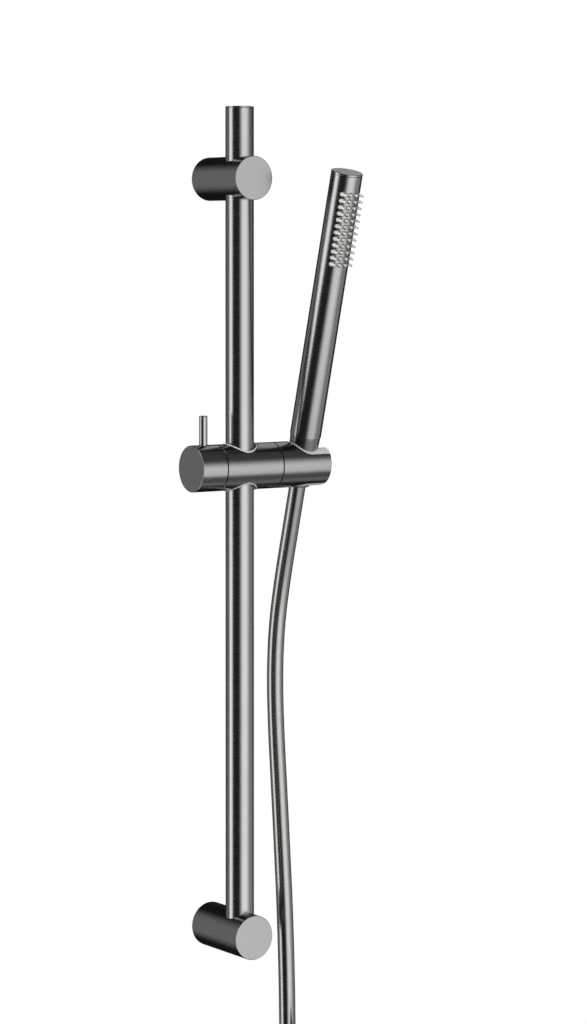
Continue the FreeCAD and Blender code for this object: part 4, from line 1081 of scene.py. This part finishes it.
class SLIDE_RAIL_OT_hose(bpy.types.Operator):
    """Lay the hose from its cone nut down to the put-away coil and the end ferrule"""
    bl_idname = "slide_rail.hose"
    bl_label = "Hose"

    # route of the hanging hose: X, Y and Z in millimetres, from inside the cone nut to above the coil
    ROUTE = (
        (57.8, -39.378, 59.850), (57.8, -28.969, 21.539), (57.5, -17.6, -20.5), (57.2, -9.2, -60.5),
        (57.0, -6.8, -101.5), (57.0, -8.7, -143.5), (57.0, -12.7, -186.5), (57.0, -16.7, -232.5),
        (57.0, -20.7, -280.5), (57.0, -23.3, -328.5), (57.0, -24.6, -376.5), (57.0, -25.0, -422.5))
    # points on each turn of the coil, and the straight stretches before and after it
    TURN_POINTS = 24
    LEAD_IN = 30 * MM
    LEAD_OUT = 43 * MM
    # way down the hose, from the cone nut's foot
    BENDING = (0, 30 * MM, -150 * MM)

    def execute(self, context):
        size = sizes()
        route = self.spline_points(size)
        line = bpy.data.curves.new("hose_line", "CURVE")
        line.dimensions = "3D"
        line.resolution_u = 12
        spline = line.splines.new("NURBS")
        spline.points.add(len(route) - 1)
        weights = np.ones((len(route), 1))
        spline.points.foreach_set("co", np.concatenate([route, weights], axis=1).ravel())
        spline.order_u = 3
        spline.use_endpoint_u = True
        carrier = bpy.data.objects.new("hose_line", line)
        flat = bpy.data.meshes.new_from_object(carrier)
        path = np.empty(len(flat.vertices) * 3)
        flat.vertices.foreach_get("co", path)
        path = path.reshape(-1, 3)
        bpy.data.objects.remove(carrier)
        bpy.data.curves.remove(line)
        bpy.data.meshes.remove(flat)
        hose = make_piece("hose_drawn", tube(path, size.hose_diameter / 2))
        hose.data.materials.append(bpy.data.materials["drawn_hose_skin"])
        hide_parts("hose_tube", "hose_coil", "hose_tail")
        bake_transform(hose)
        nodes = frame["nodes"]
        fittings = [nodes["hose_end_nut"], nodes["end_washer"], nodes["hose_tie"], self.ferrule()]
        return {"FINISHED"}

    def spline_points(self, size):
        """The hanging route, then the coil's turns, stepping along X, and the tail below them."""
        route = np.array(self.ROUTE) * MM
        lead = route[-1] - (0, 0, self.LEAD_IN)
        turn = np.linspace(0, 2 * math.pi * size.coil_turns, self.TURN_POINTS * size.coil_turns + 1)
        coil = np.stack([
            lead[0] + size.coil_pitch * turn / (2 * math.pi),
            lead[1] + size.coil_radius * (np.cos(turn) - 1),
            lead[2] - size.coil_radius * np.sin(turn)], axis=-1)
        heights = (coil[-1, 2] - self.LEAD_OUT, span("hose_tail", "Z")[0])
        tail = np.array([(coil[-1, 0], coil[-1, 1], height) for height in heights])
        return np.concatenate([route, coil, tail])

    def ferrule(self):
        """Turned ferrule on the hose's end: a plain sleeve and the flange that the end nut pulls on."""
        node = "hose_end_ferrule"
        left, right = span(node, "X")
        low, high = span(node, "Z")
        wall = 0.1 * MM
        flange_height = 3 * MM
        bore = 4.5 * MM
        flange = (right - left) / 2
        sleeve = sizes().hose_diameter / 2 + wall
        step = low + flange_height
        edge = sizes().seam_round
        corners = [(bore, low), (bore, high), (sleeve, high), (sleeve, step), (flange, step), (flange, low)]
        profile = rounded(corners + corners[:1], [0, 0, edge, 0, edge, edge, 0])
        place = (middle(node, "X"), middle(node, "Y"), 0)
        return dress("hose_end_ferrule_turned", [turned(profile) + place], "turned_brass", "slider", node)


class SLIDE_RAIL_OT_stage(bpy.types.Operator):
    """Set up the pale floor, the light tent, the fill lamps and the camera"""
    bl_idname = "slide_rail.stage"
    bl_label = "Stage"

    # lit panels of the tent: left, right, lower and upper edge, each with the width of its soft border, in
    # degrees of azimuth and elevation, and the brightness as a share of the panel glow
    PANELS = (
        ((-126, 10), (-96, 11), (-60, 10), (45, 10), 1.05),
        ((-22, 36), (42, 60), (-33, 16), (17, 36), 0.985),
        ((44, 8), (92, 16), (-30, 8), (3, 10), 0.24),
        ((62, 20), (98, 24), (-62, 8), (-47, 8), 0.165),
        ((-40, 20), (66, 20), (-62, 10), (-36, 10), 0.08),
        ((-168, 22), (-138, 14), (-30, 30), (30, 30), 0.155),
        ((104, 12), (142, 6), (14, 10), (60, 12), 0.28),
        ((15, 20), (150, 20), (22, 12), (75, 12), 0.046),
        ((-97, 10), (-30, 10), (-60, 10), (60, 10), 0.012),
        ((-200, 1), (200, 1), (-100, 1), (-70, 8), 0.16),
        ((-200, 1), (200, 1), (68, 8), (100, 1), 0.16),
    )
    # brightness of the tent's dark cloth, and its grid from bottom to top and all round
    DARK_GLOW = 0.012
    TENT_ROWS = 121
    TENT_COLUMNS = 241
    # radius of the floor, of its plain middle and of the ring where it has become white
    FLOOR_REACH = 1.5
    FLOOR_PLAIN = 0.35
    FLOOR_WHITE = 0.8
    # light of the surroundings on everything that isn't a reflection
    SOFT_LIGHT = 0.35
    # name, place, width and share of the fill power of each lamp, and the point that they face
    LAMPS = (
        ("fill_front", (-2.05, -0.75, 0.75), 1.1, 1.5),
        ("fill_above", (0.2, -0.7, 1.9), 1.2, 0.5),
    )
    LAMP_AIM = (0.03, RAIL_Y, 0.1)

    def execute(self, context):
        studio = context.scene.slide_rail_studio
        context.scene.view_settings.view_transform = "Standard"
        self.camera(studio)
        self.floor()
        self.tent(studio)
        self.world(context.scene)
        self.fill(studio)
        return {"FINISHED"}

    def camera(self, studio):
        """Camera at the picture's viewing angle."""
        data = bpy.data.cameras.new("camera")
        data.sensor_width = 36
        data.lens = studio.camera_lens
        data.shift_y = studio.camera_shift
        camera = bpy.data.objects.new("camera", data)
        camera.location = studio.camera_place
        camera.rotation_euler = (math.pi / 2 - studio.camera_dip, 0, -studio.camera_turn)
        bpy.context.scene.collection.objects.link(camera)
        bpy.context.scene.camera = camera

    def floor(self):
        """Round pale floor below the slider's lowest setting: (r cos t, r sin t), white at its rim."""
        joints = frame["record"]["behaviour"]["joints"]
        lowest_slide = next(joint["range_m"][0] for joint in joints if joint["name"] == "rail_slide")
        gap = 1 * MM
        height = CAD_BOX[0][2] + lowest_slide - gap
        reach = np.linspace(0, self.FLOOR_REACH, 12)
        floor = make_piece("studio_floor", [turned(np.stack([reach, np.full_like(reach, height)], axis=-1))])
        tree = new_finish("pale_floor_paper")
        place = add(tree, "ShaderNodeTexCoord").outputs["Object"]
        level = add(tree, "ShaderNodeVectorMath", {0: place, 1: (1, 1, 0)}, operation="MULTIPLY")
        distance = add(tree, "ShaderNodeVectorMath", {0: level.outputs["Vector"]}, operation="LENGTH")
        fade = add(tree, "ShaderNodeMapRange", {
            "Value": distance.outputs["Value"], "From Min": self.FLOOR_PLAIN, "From Max": self.FLOOR_WHITE},
            interpolation_type="SMOOTHSTEP")
        paper = add(tree, "ShaderNodeBsdfDiffuse", {"Color": shade(colours().floor)})
        white = add(tree, "ShaderNodeEmission", {"Color": (1, 1, 1, 1), "Strength": 1.0})
        mix = add(tree, "ShaderNodeMixShader", {
            0: fade.outputs["Result"], 1: paper.outputs["BSDF"], 2: white.outputs["Emission"]})
        add(tree, "ShaderNodeOutputMaterial", {"Surface": mix.outputs["Shader"]})
        floor.data.materials.append(bpy.data.materials["pale_floor_paper"])
        floor.visible_glossy = False

    def tent(self, studio):
        """Light tent round the part, seen only in the metal's reflections.

        The tent is a wide sphere of dark cloth, (sin a cos e, -cos a cos e, sin e) times its radius. Each
        lit panel is a soft-edged rectangle in azimuth a and elevation e, kept as an attribute.
        """
        elevation, azimuth = np.meshgrid(
            np.linspace(-90, 90, self.TENT_ROWS), np.linspace(-180, 180, self.TENT_COLUMNS), indexing="ij")
        rise = np.radians(elevation)
        turn = np.radians(azimuth)
        centre = np.array([0, RAIL_Y, 0])
        way = np.stack([np.sin(turn) * np.cos(rise), -np.cos(turn) * np.cos(rise), np.sin(rise)], axis=-1)
        points = centre + studio.tent_radius * way
        glow = np.full(elevation.shape, self.DARK_GLOW)

        def soft_step(value, edge, width):
            """Smooth rise from 0 to 1 across an edge: 3 s^2 - 2 s^3."""
            share = np.clip((value - edge) / width + 0.5, 0, 1)
            return share * share * (3 - 2 * share)

        for left, right, low, high, bright in self.PANELS:
            wide = soft_step(azimuth, *left) * soft_step(-azimuth, -right[0], right[1])
            tall = soft_step(elevation, *low) * soft_step(-elevation, -high[0], high[1])
            glow = np.maximum(glow, studio.panel_glow * bright * wide * tall)
        mesh = bpy.data.meshes.new("light_tent")
        mesh.from_pydata(points.reshape(-1, 3).tolist(), [], grid_quads(*glow.shape).tolist())
        light = mesh.attributes.new("glow", "FLOAT", "POINT")
        light.data.foreach_set("value", glow.ravel().astype(np.float32))
        tree = new_finish("light_tent_cloth")
        lit = add(tree, "ShaderNodeAttribute", attribute_name="glow")
        cloth = add(tree, "ShaderNodeEmission", {"Color": (1, 1, 1, 1), "Strength": lit.outputs["Fac"]})
        add(tree, "ShaderNodeOutputMaterial", {"Surface": cloth.outputs["Emission"]})
        mesh.materials.append(bpy.data.materials["light_tent_cloth"])
        tent = bpy.data.objects.new("light_tent", mesh)
        bpy.context.scene.collection.objects.link(tent)
        tent.visible_camera = False
        tent.visible_diffuse = False
        tent.visible_transmission = False
        tent.visible_shadow = False

    def world(self, scene):
        """White surroundings for the camera and in reflections, and plain soft light on everything else."""
        world = bpy.data.worlds.new("studio_air")
        world.use_nodes = True
        scene.world = world
        tree = world.node_tree
        tree.nodes.clear()
        path = add(tree, "ShaderNodeLightPath").outputs
        seen = add(tree, "ShaderNodeMath", {
            0: path["Is Camera Ray"], 1: path["Is Glossy Ray"]}, operation="MAXIMUM")
        through = add(tree, "ShaderNodeMath", {
            0: seen.outputs["Value"], 1: path["Is Transmission Ray"]}, operation="MAXIMUM")
        soft = add(tree, "ShaderNodeBackground", {"Color": (1, 1, 1, 1), "Strength": self.SOFT_LIGHT})
        white = add(tree, "ShaderNodeBackground", {"Color": (1, 1, 1, 1), "Strength": 1.0})
        mix = add(tree, "ShaderNodeMixShader", {
            0: through.outputs["Value"], 1: soft.outputs["Background"], 2: white.outputs["Background"]})
        add(tree, "ShaderNodeOutputWorld", {"Surface": mix.outputs["Shader"]})

    def fill(self, studio):
        """Large soft lamps for the surfaces that aren't metal; metal shows the tent instead."""
        for name, place, width, share in self.LAMPS:
            data = bpy.data.lights.new(name, "AREA")
            data.energy = studio.fill_power * share
            data.size = width
            lamp = bpy.data.objects.new(name, data)
            lamp.location = place
            facing = Vector(self.LAMP_AIM) - Vector(place)
            lamp.rotation_euler = facing.to_track_quat("-Z", "Y").to_euler()
            lamp.visible_glossy = False
            bpy.context.scene.collection.objects.link(lamp)


class SLIDE_RAIL_PT_build(bpy.types.Panel):
    """Steps that dress the slide rail"""
    bl_idname = "SLIDE_RAIL_PT_build"
    bl_label = "Slide Rail"
    bl_space_type = "VIEW_3D"
    bl_region_type = "UI"
    bl_category = "Slide Rail"

    def draw(self, context):
        for step in STEPS:
            self.layout.operator(step.bl_idname)


STEPS = (
    SLIDE_RAIL_OT_finishes, SLIDE_RAIL_OT_stage, SLIDE_RAIL_OT_hose, SLIDE_RAIL_OT_rail,
    SLIDE_RAIL_OT_brackets, SLIDE_RAIL_OT_slider, SLIDE_RAIL_OT_lock, SLIDE_RAIL_OT_holder,
    SLIDE_RAIL_OT_handset,
)
GROUPS = (SlideRailSizes, SlideRailColours, SlideRailStudio)
CLASSES = GROUPS + STEPS + (SLIDE_RAIL_PT_build,)


def register():
    """Registers the classes and puts the settings on the scene."""
    for item in CLASSES:
        bpy.utils.register_class(item)
    bpy.types.Scene.slide_rail_sizes = bpy.props.PointerProperty(
        name="Slide Rail Sizes", description="Sizes of the dressed pieces", type=SlideRailSizes)
    bpy.types.Scene.slide_rail_colours = bpy.props.PointerProperty(
        name="Slide Rail Colours", description="Colours of the finishes", type=SlideRailColours)
    bpy.types.Scene.slide_rail_studio = bpy.props.PointerProperty(
        name="Slide Rail Studio", description="Camera and light", type=SlideRailStudio)


def unregister():
    """Takes the settings off the scene and unregisters the classes."""
    del bpy.types.Scene.slide_rail_studio
    del bpy.types.Scene.slide_rail_colours
    del bpy.types.Scene.slide_rail_sizes
    for item in reversed(CLASSES):
        bpy.utils.unregister_class(item)


def main():
    """Builds everything in order."""
    register()
    bpy.ops.slide_rail.finishes()
    bpy.ops.slide_rail.stage()
    bpy.ops.slide_rail.hose()
    bpy.ops.slide_rail.rail()
    bpy.ops.slide_rail.brackets()
    bpy.ops.slide_rail.slider()
    bpy.ops.slide_rail.lock()
    bpy.ops.slide_rail.holder()
    bpy.ops.slide_rail.handset()
    bpy.context.view_layer.update()


if __name__ == "__main__":
    main()
